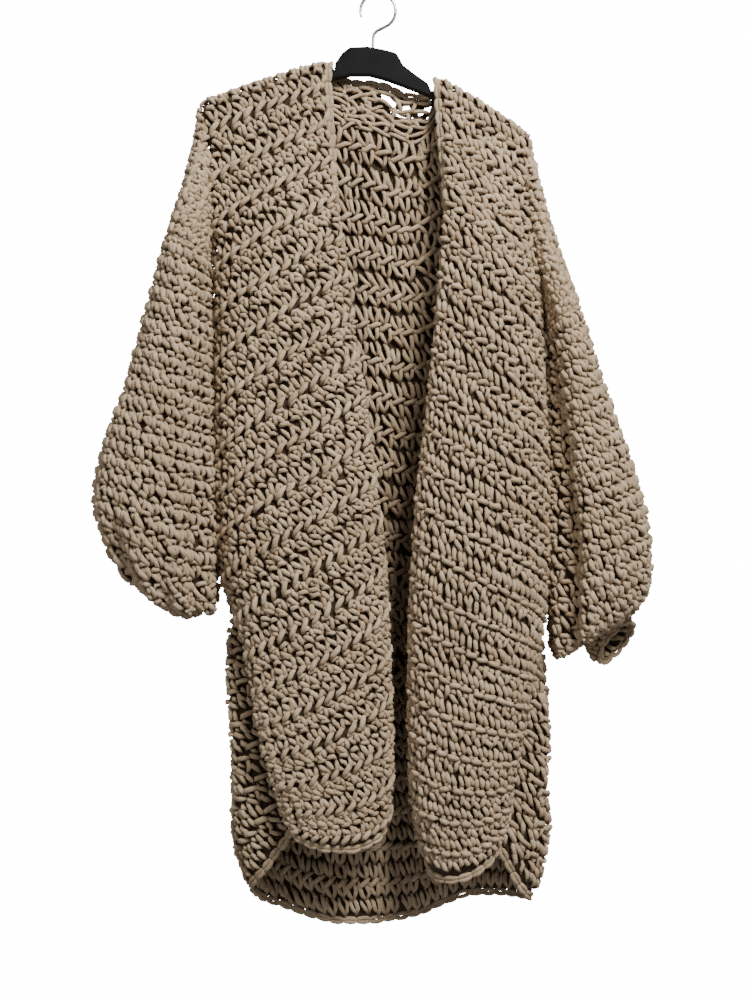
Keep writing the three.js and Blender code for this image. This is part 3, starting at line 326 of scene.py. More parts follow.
# The loops of one stitch, in millimetres from its seat: to the right, down, and out from the wall.
RIDGE = [[(-7.4, -.6, -2.2), (-2.6, -1.4, 3.5), (2.8, -.6, 3.5), (7.6, 1.6, -2.2)]]
DROP = [[(-6.2, 8.6, -1.8), (-3.4, 13, 2.2), (-.2, 17.6, 2.2), (3.2, 23, -1.6)],
        [(3.4, 3.8, -2), (6.2, 8.6, 1.2), (6.8, 13.6, 1.2), (5.2, 20, -2)],
        [(-3.6, 3, -1.8), (-.6, 7.2, 1.2), (2.2, 11.8, -1.4)],
        [(-4.6, 1.6, -2.2), (-7.2, 5.4, .4), (-7, 11.2, -2.6)]]
SLANT = [[(-6.4, -2, -1.8), (-4.8, 3.2, 1.7), (-2.6, 8.6, 1.8), (0, 14.6, -1.8)],
         [(.8, 0, -2), (3, 5.2, 1.2), (5.2, 10.6, 1.2), (7.4, 16.6, -2)],
         [(5.4, 12.4, -2.4), (7.6, 17, .6), (8.8, 22, -2.4)],
         [(-4.4, 13, -2.2), (-1.4, 17.4, .8), (2.2, 22, -2.2)]]
# The tall open loops of the first row, which hang from the shoulder seam.
TALL = [[(-5, .5, -1.4), (-3, 6.4, 1.4), (-.8, 13, 1.4), (1.6, 20.6, -1.8)],
        [(.8, .5, -1.8), (2.6, 6.4, .6), (4.4, 12.6, .6), (6.2, 19.6, -2)]]

# How far hand work strays: a stitch's turn in radians, size, place and height, a control's place,
# and a loop's thickness and tone.
TURN, SIZE, PLACE, HEIGHT, THICK, TONE = 0.09, 0.05, 0.8, 0.4, 0.06, 0.14
CONTROL = np.array([0.55, 0.7, 0.3])
MIDDLE_THICK, END_THICK = 1.06, 0.62
EDGE_INSET, EDGE_CLEAR, EDGE_SHARE = 3.0, 1.0, 0.004
ROW_SAMPLES = 81


def stitch_seats(sheet, paths, stagger=0.0):
    """Seats of the stitches of each row: the row's length divided by the stitch width, rounded.
    A row's extra slope is none at the top and the hem, and most halfway."""
    line = on_cloth(sheet, np.array(paths)[:, None], np.linspace(0, 1, ROW_SAMPLES)[None, :])[0]
    width = np.linalg.norm(np.diff(line, axis=1), axis=2).sum(axis=1)
    count = np.maximum(1, np.round(width / STITCH)).astype(int)
    inset = 0.0 if sheet.closed else EDGE_INSET
    place = [(np.arange(n) + 0.5 + stagger * (row % 2)) / n * (1 - 2 * inset / w) + inset / w
             for row, (n, w) in enumerate(zip(count, width))]
    place = np.concatenate(place)
    path = np.repeat(paths, count)
    path = path + sheet.skew * (place - 0.5) * np.sin(np.pi * path / sheet.reach[-1])**2
    return path, place, np.repeat(width, count)


def laid(sheet, path, place, height, inside):
    """Points at some heights off the outer face, or off the inner one, and the way out of it."""
    centre, normal, _ = on_cloth(sheet, path, place)
    side = -1 if inside else 1
    return centre + normal * ((-WALL if inside else 0.0) + side * height)[..., None], side * normal


def stitches(sheet, seats, loops, inside=False, radius=YARN_RADIUS, jitter=1.0):
    """Every loop of every stitch of some rows, laid on the cloth as the side that shows is seen:
    right is square to down on it. Where the row falls, a step to the right is lengthened by the
    cosine of the fall and raised by its tangent. Each control is a little off, as hand work is."""
    path, place, width = seats
    n = len(path)
    right = np.cross((-1 if inside else 1) * sheet.normals, sheet.down)
    way = np.sign(np.mean(np.sum(right * sheet.across, axis=2)))
    fall = way * on_cloth(sheet, path, place)[2][:, None]
    cosine = np.sqrt(1 - fall**2)
    turn = draw.normal(0, TURN * jitter, (n, 1))
    grow = draw.normal(1, SIZE * jitter, (n, 1))
    shift = draw.normal(0, PLACE * jitter, (2, n, 1))
    rise = draw.normal(0, HEIGHT * jitter, (n, 1))
    tone = draw.uniform(0, 1, n)
    meshes = []
    for controls in loops:
        given = np.array(controls)
        points = len(controls)
        own = given + draw.normal(0, 1, (n, *given.shape)) * CONTROL * jitter
        a, b, h = np.moveaxis(loop_shape(own, points), -1, 0)
        h = h + rise - END_SINK * np.isin(np.arange(points), [0, points - 1])
        across = (a * np.cos(turn) - b * np.sin(turn)) * grow + shift[0]
        down = (a * np.sin(turn) + b * np.cos(turn)) * grow + shift[1]
        where = place[:, None] + way * across / cosine / width[:, None]
        if not sheet.closed:
            where = np.clip(where, EDGE_SHARE, 1 - EDGE_SHARE)
        level = np.clip(path[:, None] + down - across * fall / cosine,
                        sheet.reach[0] + EDGE_CLEAR, sheet.reach[-1] - EDGE_CLEAR)
        taper = np.full(points, MIDDLE_THICK * radius)
        taper[[0, -1]] = END_THICK * radius
        thick = taper * draw.normal(1, THICK * jitter, (n, 1))
        own_tone = np.clip(tone + draw.normal(0, TONE, n), 0, 1)
        meshes.append(strand_mesh(*laid(sheet, level, where, h, inside), thick, own_tone, h))
    return meshes


# Rows of the lattice, counted from the top, that keep their full fineness where slots are cut.
SLOT_ROWS = 12


def ground_mesh(sheet, outer, inner, rows=3, columns=2, slots=None):
    """Closed shell between two heights over the lattice: the outer net, the inner net turned
    round, and a strip along each free edge. Cells whose middle is in a slot are left out."""
    last = sheet.points.shape[0] - 1
    r = np.unique(np.append(np.arange(0, last + 1, rows), last))
    if slots is not None:
        r = np.unique(np.append(np.arange(0, SLOT_ROWS), r[r > SLOT_ROWS]))
    n = sheet.points.shape[1]
    c = np.arange(0, n, columns)
    c = c if sheet.closed else np.unique(np.append(c, n - 1))
    p, nrm = sheet.points[np.ix_(r, c)], sheet.normals[np.ix_(r, c)]
    nr, nc = len(r), len(c)
    verts = np.concatenate([(p + nrm * outer).reshape(-1, 3), (p + nrm * inner).reshape(-1, 3)])
    i, k = np.meshgrid(np.arange(nr - 1), np.arange(nc if sheet.closed else nc - 1), indexing="ij")
    k2 = (k + 1) % nc
    net = np.stack([i * nc + k, (i + 1) * nc + k, (i + 1) * nc + k2, i * nc + k2], -1).reshape(-1, 4)
    if slots is not None:
        middle = p.reshape(-1, 3)[net, 0].mean(axis=1)
        level = sheet.reach[r][net // nc].mean(axis=1)
        shut = np.ones(len(net), bool)
        for x0, x1, top, bottom in zip(slots["x_from"], slots["x_to"], slots["top"], slots["bottom"]):
            shut &= ~((middle > x0) & (middle < x1) & (level > top) & (level < bottom))
        net = net[shut]
    if np.sum(np.cross(sheet.down, sheet.across) * sheet.normals) < 0:
        net = net[:, ::-1]
    under = net[:, ::-1] + nr * nc
    edges = np.concatenate([net[:, [a, (a + 1) % 4]] for a in range(4)])
    key = edges[:, 0] * (nr * nc) + edges[:, 1]
    twin = edges[:, 1] * (nr * nc) + edges[:, 0]
    free = edges[~np.isin(key, twin)]
    strip = np.stack([free[:, 1], free[:, 0], free[:, 0] + nr * nc, free[:, 1] + nr * nc], -1)
    # The shell gets no painted shade by level; its darkness is the painted shade of its own material.
    return verts, np.vstack([net, under, strip]), np.tile([0.5, NO_PAINTED_SHADE_HEIGHT], (len(verts), 1))


def put(name, data):
    """A new object of the data, in the scene."""
    made = bpy.data.objects.new(name, data)
    bpy.context.scene.collection.objects.link(made)
    return made


def piece(name, parts, material):
    """One object of joined meshes, in metres at the origin, riding on the garment's one body."""
    verts = np.concatenate([p[0] for p in parts]) / MM
    starts = np.cumsum([0] + [len(p[0]) for p in parts[:-1]])
    faces = np.concatenate([p[1] + s for p, s in zip(parts, starts)])
    shade = np.concatenate([p[2] for p in parts])
    mesh = bpy.data.meshes.new(name)
    mesh.from_pydata(verts.tolist(), [], faces.tolist())
    for k, key in enumerate(("tone", "level")):
        mesh.attributes.new(key, "FLOAT", "POINT").data.foreach_set("value", shade[:, k])
    mesh.shade_smooth()
    mesh.materials.append(material)
    made = put(name, mesh)
    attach(made, "root")
    return made


def linear(code):
    """Linear colour of an sRGB hex value, by the sRGB curve."""
    c = np.array([int(code[i:i + 2], 16) for i in (1, 3, 5)]) / 255
    c = np.where(c <= 0.04045, c / 12.92, ((c + 0.055) / 1.055)**2.4)
    return (*c, 1.0)


def add_node(material, kind, inputs=None, stops=(), **settings):
    """Adds a shader node with its settings; an input is a value, or another node's output to link, and
    the stops of a colour ramp are pairs of position and hex colour."""
    tree = material.node_tree
    made = tree.nodes.new("ShaderNode" + kind)
    for name, value in settings.items():
        setattr(made, name, value)
    for name, value in (inputs or {}).items():
        if isinstance(value, bpy.types.NodeSocket):
            tree.links.new(value, made.inputs[name])
        else:
            made.inputs[name].default_value = value
    while stops and len(made.color_ramp.elements) < len(stops):
        made.color_ramp.elements.new(0.5)
    for n, (position, code) in enumerate(stops):
        made.color_ramp.elements[n].position = position
        made.color_ramp.elements[n].color = linear(code)
    return made


def new_material(name):
    """An empty node material."""
    made = bpy.data.materials.new(name)
    made.use_nodes = True
    made.node_tree.nodes.clear()
    return made


# The numbers of a colour mix node's sockets, whose names it shares with others: the two colours
# and the result.
MIX_FIRST, MIX_SECOND, MIX_RESULT = 6, 7, 2
# Scales of the noise patterns: tufts, clumps and patches to a metre.
TUFTS, CLUMPS, PATCHES = 820.0, 330.0, 14.0


def chenille(name, deep, dark, middle, light):
    """Plush chenille yarn: short cut pile in a taupe brown, matt, with a faint sheen along the
    pile. Each loop has its own tone, the tufts show as drawn mottling and bump, coarser than the
    real pile at 1.2 mm, and the pile low in the wall, between the loops, is mixed toward the deep
    colour by its level as painted shade."""
    made = new_material(name)
    place = add_node(made, "TexCoord").outputs["Object"]
    tone, level = [add_node(made, "Attribute", attribute_name=key).outputs["Fac"]
                   for key in ("tone", "level")]
    tuft, clump, patch = [
        add_node(made, "TexNoise", {"Vector": place, "Scale": scale, "Detail": detail,
                                    "Roughness": rough}).outputs["Fac"]
        for scale, detail, rough in ((TUFTS, 3.0, 0.6), (CLUMPS, 2.0, 0.7), (PATCHES, 2.0, 0.5))]
    colour = add_node(made, "ValToRGB", {"Fac": tone},
                      ((0.0, dark), (0.5, middle), (1.0, light))).outputs["Color"]
    for noise, low, high, share in ((clump, 0.36, 0.64, 0.45), (tuft, 0.3, 0.7, 0.35),
                                    (patch, 0.3, 0.7, 0.15)):
        mottled = add_node(made, "ValToRGB", {"Fac": noise}, ((low, dark), (high, light)))
        colour = add_node(made, "Mix", {
            "Factor": share, MIX_FIRST: colour, MIX_SECOND: mottled.outputs["Color"]},
            data_type="RGBA").outputs[MIX_RESULT]
    # Painted shade: corners lower in the wall get more of the deep colour, all of it at the lowest height
    # and none at the highest.
    lit = add_node(made, "MapRange", {"Value": level, "From Min": FULL_PAINTED_SHADE_HEIGHT, "From Max": NO_PAINTED_SHADE_HEIGHT})
    colour = add_node(made, "Mix", {
        "Factor": lit.outputs["Result"], MIX_FIRST: linear(deep), MIX_SECOND: colour},
        data_type="RGBA").outputs[MIX_RESULT]
    bump = add_node(made, "Bump", {"Strength": 0.8, "Distance": 0.0006, "Height": tuft})
    shader = add_node(made, "BsdfPrincipled", {
        "Base Color": colour, "Roughness": 0.95, "IOR": 1.5, "Specular IOR Level": 0.15,
        "Sheen Weight": 0.12, "Sheen Roughness": 0.6, "Sheen Tint": linear("#DCC8A8"),
        "Normal": bump.outputs["Normal"]})
    add_node(made, "OutputMaterial", {"Surface": shader.outputs["BSDF"]})
    return made


# The first colour of each yarn is its painted shade, mixed into the pile that lies low between the loops.
yarn = chenille("plush_chenille_yarn", "#45372A", "#8A745A", "#AF977A", "#D2BC9E")
# The shell under the loops: the same yarn with every colour darkened, painted shade for where its pile lies
# in its own shade.
painted_shade_yarn = chenille("plush_chenille_painted_shade_between_loops", "#2C2015", "#2C2015", "#3A2C1F", "#4A3A2A")


def flat_cut(*sheets):
    """Size and area of a panel laid flat, in metres: the greatest length of a row over all the
    sheets side by side, by the length of the path; and the sum of the lattice cells' areas."""
    wide, area = 0.0, 0.0
    for s in sheets:
        p = np.concatenate([s.points, s.points[:, :1]], axis=1) if s.closed else s.points
        across = np.diff(p, axis=1)
        wide += np.linalg.norm(across, axis=2).sum(axis=1).max()
        area += np.linalg.norm(np.cross(np.diff(p, axis=0)[:, 1:], across[1:]), axis=2).sum()
    return (wide / MM, sheets[0].reach[-1] / MM), area / MM**2


def panel(name, sheets, loops, rests_on, outer, inner, rows=3):
    """A node's cloth, a closed shell under its loops, and the loops on it; the cut of the cloth is worked
    out but not kept.
    """
    ground = piece(f"{name}_cloth", [ground_mesh(s, outer, inner, rows) for s in sheets], painted_shade_yarn)
    face = piece(f"{name}_loops", loops, yarn)
    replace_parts(ground, name)
    flat, area = flat_cut(*sheets)
    return ground


# The heights of the shell under the loops, off the cloth's outer face.
GROUND = dict(outer=-3.4, inner=-3.9)
# The neck's top rows are pulled long by the weight, and daylight shows through between them.
SLOTS = dict(x_from=[4, 29, 56, 18, 40, 60, 40, 60], x_to=[27, 47, 69, 36, 55, 71, 55, 71],
             top=[6, 6, 6, 16.5, 16.5, 16.5, 27, 27], bottom=[16, 16, 16, 27, 27, 27, 37, 37])
PULLED = [dict(x=(-64, 2), rows=[3, 9, 15, 21.5, 28, 34.5, 41, 48, 55, 62], length=22.0),
          dict(x=(-4, 76), rows=[4, 17.5, 28.5, 39, 46, 54, 61], length=30.0)]
PULLED_DEPTH, PULLED_CLEAR, PULLED_RADIUS, PULLED_PAINTED_SHADE_LIFT = 60.0, 6, 2.45, 0.8
# A pulled loop along its row and the short tie to the next row: heights, thickness, how much of a
# step they run past it, and how far they stray sideways.
LONG_LOOP = dict(height=[-2.2, .4, 1.3, 1.5, 1.3, .4, -2.2], taper=[.7, .9, 1, 1, 1, .9, .7],
                 past=.08, stray=5)
TIE = dict(height=[-1.6, 1.9, 1.9, -1.6], taper=[.8, 1.1, 1.1, .8], past=.1, stray=6)
TIE_SLANT, TIE_BOW, LOOP_WAVE, LOOP_RIPPLE = 9.0, np.array([-1.5, 1.2, 1.6, -1]), 2.3, 1.6
PULLED_TONE, RIPPLE_TURN = (0.2, 0.9), 3
FIRST_RIDGE = 12.0
HEM_CLEAR = dict(ridge=4.0, first=22.0, second=20.0)
back_path, back_points = back_surface()
back = cloth(back_points, back_path, BACKWARD)
back_arms = []
for sign, arm_column in ((-1, 0), (1, -1)):
    rows = back_path <= ARM_END[sign]["path"] + NEAR
    edge = back_points[rows, arm_column]
    lattice = over_arm(sign, 1, edge, back_path[rows], ARM_END[sign]["path"])
    back_arms.append(cloth(lattice, back_path[rows], BACKWARD))


def clear_of_neck(sheet, seats):
    """The seats that lie outside the pulled part of the neck."""
    path, place, width = seats
    x = on_cloth(sheet, path, place)[0][:, 0]
    low, high = PULLED[0]["x"][0] - PULLED_CLEAR, PULLED[1]["x"][1] + PULLED_CLEAR
    keep = (path > PULLED_DEPTH) | (x < low) | (x > high)
    return path[keep], place[keep], width[keep]


def body_rows(sheet, pitch, pulled):
    """The seats of the ridge rows and of the two rows of loops under each."""
    last = sheet.reach[-1]
    lines = np.arange(0.0, last - HEM_CLEAR["ridge"], pitch)
    rows = (lines[lines > FIRST_RIDGE], lines[lines < last - HEM_CLEAR["first"]],
            lines[lines < last - pitch / 2 - HEM_CLEAR["second"]] + pitch / 2)
    seats = [stitch_seats(sheet, row) for row in rows]
    return [clear_of_neck(sheet, s) for s in seats] if pulled else seats


def body_ridges(sheet, ridge, pitch=2 * HALF_ROW, inside=False, pulled=False, jitter=1.0):
    """The slanted bars of the ridge rows."""
    return stitches(sheet, body_rows(sheet, pitch, pulled)[0], ridge, inside, RIDGE_RADIUS, jitter)


def body_loops(sheet, upper, lower, pitch=2 * HALF_ROW, inside=False, pulled=False, tall=None, jitter=1.0):
    """The loops of the two rows under each ridge; those of the first row may be tall."""
    first, second = body_rows(sheet, pitch, pulled)[1:]
    done = []
    if tall:
        top = first[0] < 1
        done += stitches(sheet, [v[top] for v in first], tall, inside)
        first = [v[~top] for v in first]
    return (done + stitches(sheet, first, upper, inside, jitter=jitter)
            + stitches(sheet, second, lower, inside, jitter=jitter))


def pulled_strands(sheet, inside):
    """Long loops end to end along the pulled rows, wavy by hand, and short ones that tie each row
    to the next."""
    share, top_x, meshes = np.linspace(0, 1, sheet.points.shape[1]), sheet.points[0, :, 0], []

    def stray(shape, n):
        return draw.uniform(-shape["stray"], shape["stray"], (n, 1))

    def along(shape):
        return np.linspace(-shape["past"], 1 + shape["past"], len(shape["height"]))

    def lay(x, path, shape):
        height, taper = np.array(shape["height"]), np.array(shape["taper"])
        lines = laid(sheet, path, np.interp(x, top_x, share), height, inside)
        tone = draw.uniform(*PULLED_TONE, len(x))
        # The pulled strands are raised in level, which lightens their painted shade.
        meshes.append(strand_mesh(*lines, PULLED_RADIUS * taper, tone, height + PULLED_PAINTED_SHADE_LIFT))

    for part in PULLED:
        low, high = part["x"]
        count = int(round((high - low) / part["length"]))
        span = (high - low) / count
        rows = np.array(part["rows"])
        start = low + np.arange(count)[None, :] * span + stray(LONG_LOOP, len(rows))
        t = along(LONG_LOOP)
        x = (start[..., None] + t * span).reshape(-1, len(t))
        wave = draw.normal(0, LOOP_WAVE, (len(x), 1)) * np.cos(t * np.pi)
        wave = wave + draw.normal(0, LOOP_RIPPLE, (len(x), 1)) * np.sin(t * RIPPLE_TURN)
        lay(x, np.repeat(rows, count)[:, None] + wave, LONG_LOOP)
        t = along(TIE)
        foot = start[:-1].ravel()[:, None]
        x = foot + draw.uniform(-TIE_SLANT, TIE_SLANT, foot.shape) * t
        x = x + stray(TIE, len(x)) + TIE_BOW
        step = np.repeat(np.diff(rows), count)[:, None]
        lay(x, np.repeat(rows[:-1], count)[:, None] + step * t, TIE)
    return meshes


# Seen from inside, the ridges are thick ropes of rising loops, over columns of short ones.
ROPE = [[(-10, 3.6, -.6), (-3.4, 2.2, 3.4), (3.4, -2, 3.8), (9.6, -3.6, .2)]]
SHORT = [[(-6.4, -1.6, -1.4), (-5.4, 5.2, 1.5), (-2.6, 12, 1.7), (2.8, 20.4, -1)],
         [(1, -1.8, -1.6), (4.8, 5.4, 1), (5.2, 12.6, 1), (1.6, 22, -1.4)]]
back_cloth = piece("back_cloth", [ground_mesh(back, **GROUND, columns=1, slots=SLOTS)]
                   + [ground_mesh(s, **GROUND) for s in back_arms], painted_shade_yarn)
ridges = body_ridges(back, RIDGE, pulled=True)
outside = body_loops(back, DROP[:3], SLANT[:2], pulled=True) + pulled_strands(back, False)
for s in back_arms:
    ridges += body_ridges(s, RIDGE)
    outside += body_loops(s, DROP[:3], SLANT[:2])
back_ridges = piece("back_outer_ridges", ridges, yarn)
back_outside = piece("back_outer_loops", outside, yarn)
inside = (body_ridges(back, ROPE, inside=True, pulled=True, jitter=0.7) + pulled_strands(back, True)
          + body_loops(back, SHORT, SHORT, inside=True, pulled=True, jitter=1.3))
back_inside = piece("back_inner_loops", inside, yarn)
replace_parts(back_cloth, "back")
flat, area = flat_cut(back, *back_arms)

# The two fronts: crocheted like the back and joined to it along the shoulders, the tops of the
# arms and the sides. The heavy free edges hang down the middle and roll inwards, so the rows rise
# towards the middle on the left one and fall away from it on the right one.
FRONT_CREST = 0.45
CORNER_IN, CORNER_OUT = (0.15, 26.0), (0.12, 16.0)
FRONT_COLUMNS = 44
FRONTS = {
    -1: dict(half_rows=43, arm_rows=8, sag=34, table=dict(
        path=[0, 30, 90, 160, 215, 320, 430, 540, 650, 760, 850, 924.5],
        fall=[51, 51.5, 64, 76, 88, 106, 118, 122, 118, 100, 70, 27],
        x_in=[-66, -65.5, -61, -54, -47, -35, -17, -2, 9, 14, 16, 12],
        bulge=[0, 0, 12, 26, 34, 42, 50, 56, 60, 62, 62, 56],
        turn=[0, 2, 6, 12, 18, 26, 34, 38, 42, 42, 42, 38],
        roll=[0, 0, 0, 0, 6, 16, 28, 36, 42, 46, 50, 46])),
    1: dict(half_rows=44, arm_rows=10, sag=48, table=dict(
        path=[0, 30, 90, 160, 215, 320, 430, 540, 650, 760, 850, 946],
        fall=[69, 69.5, 82, 92, 100, 118, 124, 120, 104, 76, 40, -12],
        x_in=[78, 77.5, 79, 82, 80, 72, 60, 47, 41, 39, 41, 56],
        bulge=[0, 0, 12, 28, 38, 50, 60, 66, 70, 72, 70, 62],
        turn=[0, 2, 6, 12, 20, 30, 38, 42, 46, 46, 46, 42],
        roll=[0, 0, 0, 0, 10, 25, 36, 44, 50, 50, 50, 46])),
}


def front_surface(sign):
    """Columns at equal lengths in plan: from the rolled inner edge over the crest, then a quarter
    turn back to the side; each row falls straight from its inner to its outer end, and the last
    rows sag in the middle and round up at the corners."""
    panel = FRONTS[sign]
    table = panel["table"]
    path = np.arange(panel["half_rows"] * 4 + 1) * ROW_STEP
    read = {name: column(table, "path", name, path) for name in table}
    z_in = SHOULDER[sign]["z"] - fold_drop(path)
    z_out = z_in - read["fall"]
    y_mid = (-HALF_SEAM - fold_depth(path) - read["bulge"])[:, None]
    on_arm = path <= panel["arm_rows"] * HALF_ROW + NEAR
    hole, side = ARMHOLE[sign], SIDE[sign]
    x_out = np.where(on_arm, column(hole, "path", "x", path), column(side, "z", "x", z_out))[:, None]
    y_out = np.where(on_arm, -np.minimum(fold_depth(path), column(hole, "path", "front", path)),
                     column(side, "z", "y", z_out))[:, None] - HALF_SEAM
    x_in = read["x_in"][:, None]
    x_mid = x_in + (x_out - x_in) * FRONT_CREST
    roll = np.radians(90 + read["roll"])[:, None] * np.arange(SECTION, 0, -1) / SECTION
    outer = np.pi / 2 * np.arange(SECTION + 1)[None, :] / SECTION
    x = np.hstack([x_mid + (x_in - x_mid) * np.sin(roll), x_mid + (x_out - x_mid) * np.sin(outer)])
    y = np.hstack([y_mid + read["turn"][:, None] * (1 - np.cos(roll)),
                   y_mid + (y_out - y_mid) * (1 - np.cos(outer))])
    x, y = even_columns(x, y, FRONT_COLUMNS)
    u = np.linspace(0, 1, FRONT_COLUMNS + 1)[None, :]
    near, far = np.maximum(0, 1 - u / CORNER_IN[0]), np.maximum(0, 1 - (1 - u) / CORNER_OUT[0])
    corner = CORNER_IN[1] * near**2 + CORNER_OUT[1] * far**2
    done = (path / path[-1])[:, None]**4
    rise = SHOULDER_RISE * np.sin(np.pi * u) * np.maximum(0, 1 - path / SHOULDER_RUN)[:, None]
    sag = panel["sag"] * 4 * u * (1 - u)
    z = z_in[:, None] + (z_out - z_in)[:, None] * u - done * (sag - corner) + rise
    return path, np.stack([x, y, z], axis=-1), on_arm


# On the left front the ridges climb steeply, over clusters of a hood, a leg and a low slanting loop.
CLIMB = [[(-6.6, 7.4, -1.6), (-2.4, 2.4, 3.4), (2.2, -2.8, 3.4), (6.6, -8.2, -1.6)]]
LOW_LOOP = [[(-6.4, 13.6, -1.6), (-2.2, 15.6, 2.2), (2, 18.8, 2.2), (6, 23.2, -1.8)],
            [(3.4, 5.8, -2), (5.6, 9.8, 1.3), (6.6, 13.8, 1.3), (6.4, 18.6, -2)],
            [(-6, 11.4, -2), (-3.4, 7.4, 1), (.4, 5.6, 1.2), (4, 6.8, -2)],
            [(-1.6, 8, -2.2), (.6, 11.4, .3), (1.4, 15.4, -2.2)],
            [(-8, 15.4, -2.4), (-6.2, 19.6, 0), (-2, 22.4, -2.4)]]
HOOD = [[(-5.4, 2.6, -1.8), (-1.8, .2, 1.5), (2, .2, 1.9), (5.6, 2.8, -1.6)],
        [(-6.2, 4.8, -1.8), (-3, 8.6, 1.9), (.4, 12.4, 1.9), (3.6, 17.8, -1.6)],
        [(5, 3.6, -2), (7.2, 8.2, .9), (6.6, 13, .9), (4, 18.6, -2)],
        [(-7.6, 12.4, -2), (-5, 17.6, .7), (-.4, 22.4, -2.2)],
        [(2.6, 21.4, -2.2), (5.4, 17.8, .6), (9, 14.8, -2.2)]]
CLIMB_PITCH, FALL_PITCH = 48.0, 43.5

fronts, front_arms, front_cloths = {}, {}, {}
FRONT_SKEW = {-1: 32.0, 1: 14.0}
for sign, name, ridge, pitch, upper, lower, jitter in (
        (-1, "left", CLIMB, CLIMB_PITCH, LOW_LOOP, HOOD, 1.2),
        (1, "right", RIDGE, FALL_PITCH, DROP, SLANT, 1.05)):
    path, lattice, on_arm = front_surface(sign)
    body = fronts[sign] = cloth(lattice, path, FORWARD)
    body.skew = FRONT_SKEW[sign]
    arm_lattice = over_arm(sign, -1, lattice[on_arm, -1], path[on_arm], FRONTS[sign]["arm_rows"] * HALF_ROW)
    arm = front_arms[sign] = cloth(arm_lattice, path[on_arm], FORWARD)
    loops = []
    for s, tall in ((body, TALL), (arm, None)):
        loops += body_ridges(s, ridge, pitch, jitter=0.8)
        loops += body_loops(s, upper, lower, pitch, tall=tall, jitter=jitter)
    front_cloths[sign] = panel(f"front_{name}", [body, arm], loops, ["hanger_body"], **GROUND)

# The balloon sleeves: tubes worked in rounds of staggered clusters from the dropped armholes, full
# at the bottom and gathered into small cuffs, each a short tube of close rounds.
SLEEVES = {
    -1: dict(x=[-236, -248, -261, -274, -279, -273, -257, -245], y=[0, 0, -3, -5, -6, -4, 2, 12],
             z=[-318, -412, -504, -585, -655, -708, -740, -744], half=[29, 42, 53, 68, 75, 70, 50, 30],
             depth=[56, 64, 70, 76, 78, 72, 56, 30], tilt=[27, 23, 19, 17, 20, 25, 24, 20],
             pitch=[0, 0, 0, 0, 2, 8, 20, 26], pleat=[0, 0, .5, 1.5, 3, 5, 6, 2.5],
             crease=[0, 0, 3, 5, 6, 6, 3, 0], lean=[0, 4, 8, 9, 9, 8, 8, 4]),
    1: dict(x=[229, 243, 259, 270, 278, 278, 270, 276], y=[0, 0, -3, -5, -6, -6, -8, -12],
            z=[-404, -483, -568, -632, -706, -764, -796, -786], half=[23, 33, 45, 54, 60, 62, 49, 30],
            depth=[56, 64, 70, 75, 76, 70, 54, 30], tilt=[33, 30, 26, 20, 20, 28, 33, 40],
            pitch=[0, 0, 0, 0, 0, 0, -8, -18], pleat=[0, 0, .5, 1.5, 3, 5, 6, 2.5],
            crease=[0, 8, 14, 16, 16, 14, 8, 0], lean=[2, 6, 9, 10, 10, 8, 3, 0]),
}
CUFF_RADIUS, CUFF_LENGTH = 27.0, {-1: 18.0, 1: 26.0}
CUFF_BEND, CUFF_FLARE, CUFF_SWELL = {-1: 0.0, 1: -26.0}, 3.0, 2.0
CUFF_RINGS, CUFF_SIDES = 9, 60
GATHERS, CREASE_ANGLE, CREASE_WIDTH, LEAN_WIDTH = 9, 2.45, 0.3, 0.45
SEAM_GAP = 0.4
SLEEVE_ROW, SLEEVE_HEM_CLEAR, SCALE_RADIUS = 19.5, 14.0, 3.3


def ring_axis(sign, ring):
    """Direction down the arm, square to a ring."""
    tilt, pitch = np.radians(ring["tilt"]), np.radians(ring.get("pitch", 0.0))
    across = np.array([sign * np.cos(tilt), 0, np.sin(tilt)])
    axis = np.cross(across, [0, -np.cos(pitch), -np.sin(pitch)])
    axis /= np.linalg.norm(axis)
    return -axis if axis[2] > 0 else axis


def tube_cloth(rings, centres):
    """Closed cloth of rings whose rows are spaced by their mean distance, facing off the centres."""
    step = np.linalg.norm(np.diff(rings, axis=0), axis=2).mean(axis=1)
    reach = np.concatenate([[0], np.cumsum(step)])
    return cloth(rings, reach, rings - centres[:, None], closed=True)


def sleeve_surface(sign, rows=72, sides=144):
    """Rings between the table's rings, each swollen by gathers, dented by one long crease, and
    grown on the side that leans against the body."""
    table = SLEEVES[sign]
    key = np.arange(len(table["x"]))
    at = np.linspace(0, key[-1], rows + 1)
    ring = {name: smooth(key, values, at)[:, None] for name, values in table.items()}
    angle = np.arange(sides)[None, :] * 2 * np.pi / sides
    grow = (ring["pleat"] * np.cos(GATHERS * angle)
            - ring["crease"] * np.exp(-((angle - CREASE_ANGLE) / CREASE_WIDTH)**2)
            + ring["lean"] * np.exp(-((angle - np.pi) / LEAN_WIDTH)**2))
    points = arm_ring(sign, ring, angle, grow) + ring_axis(sign, ARM_END[sign]) * SEAM_GAP
    return tube_cloth(points, np.stack([ring[k][:, 0] for k in "xyz"], axis=-1))


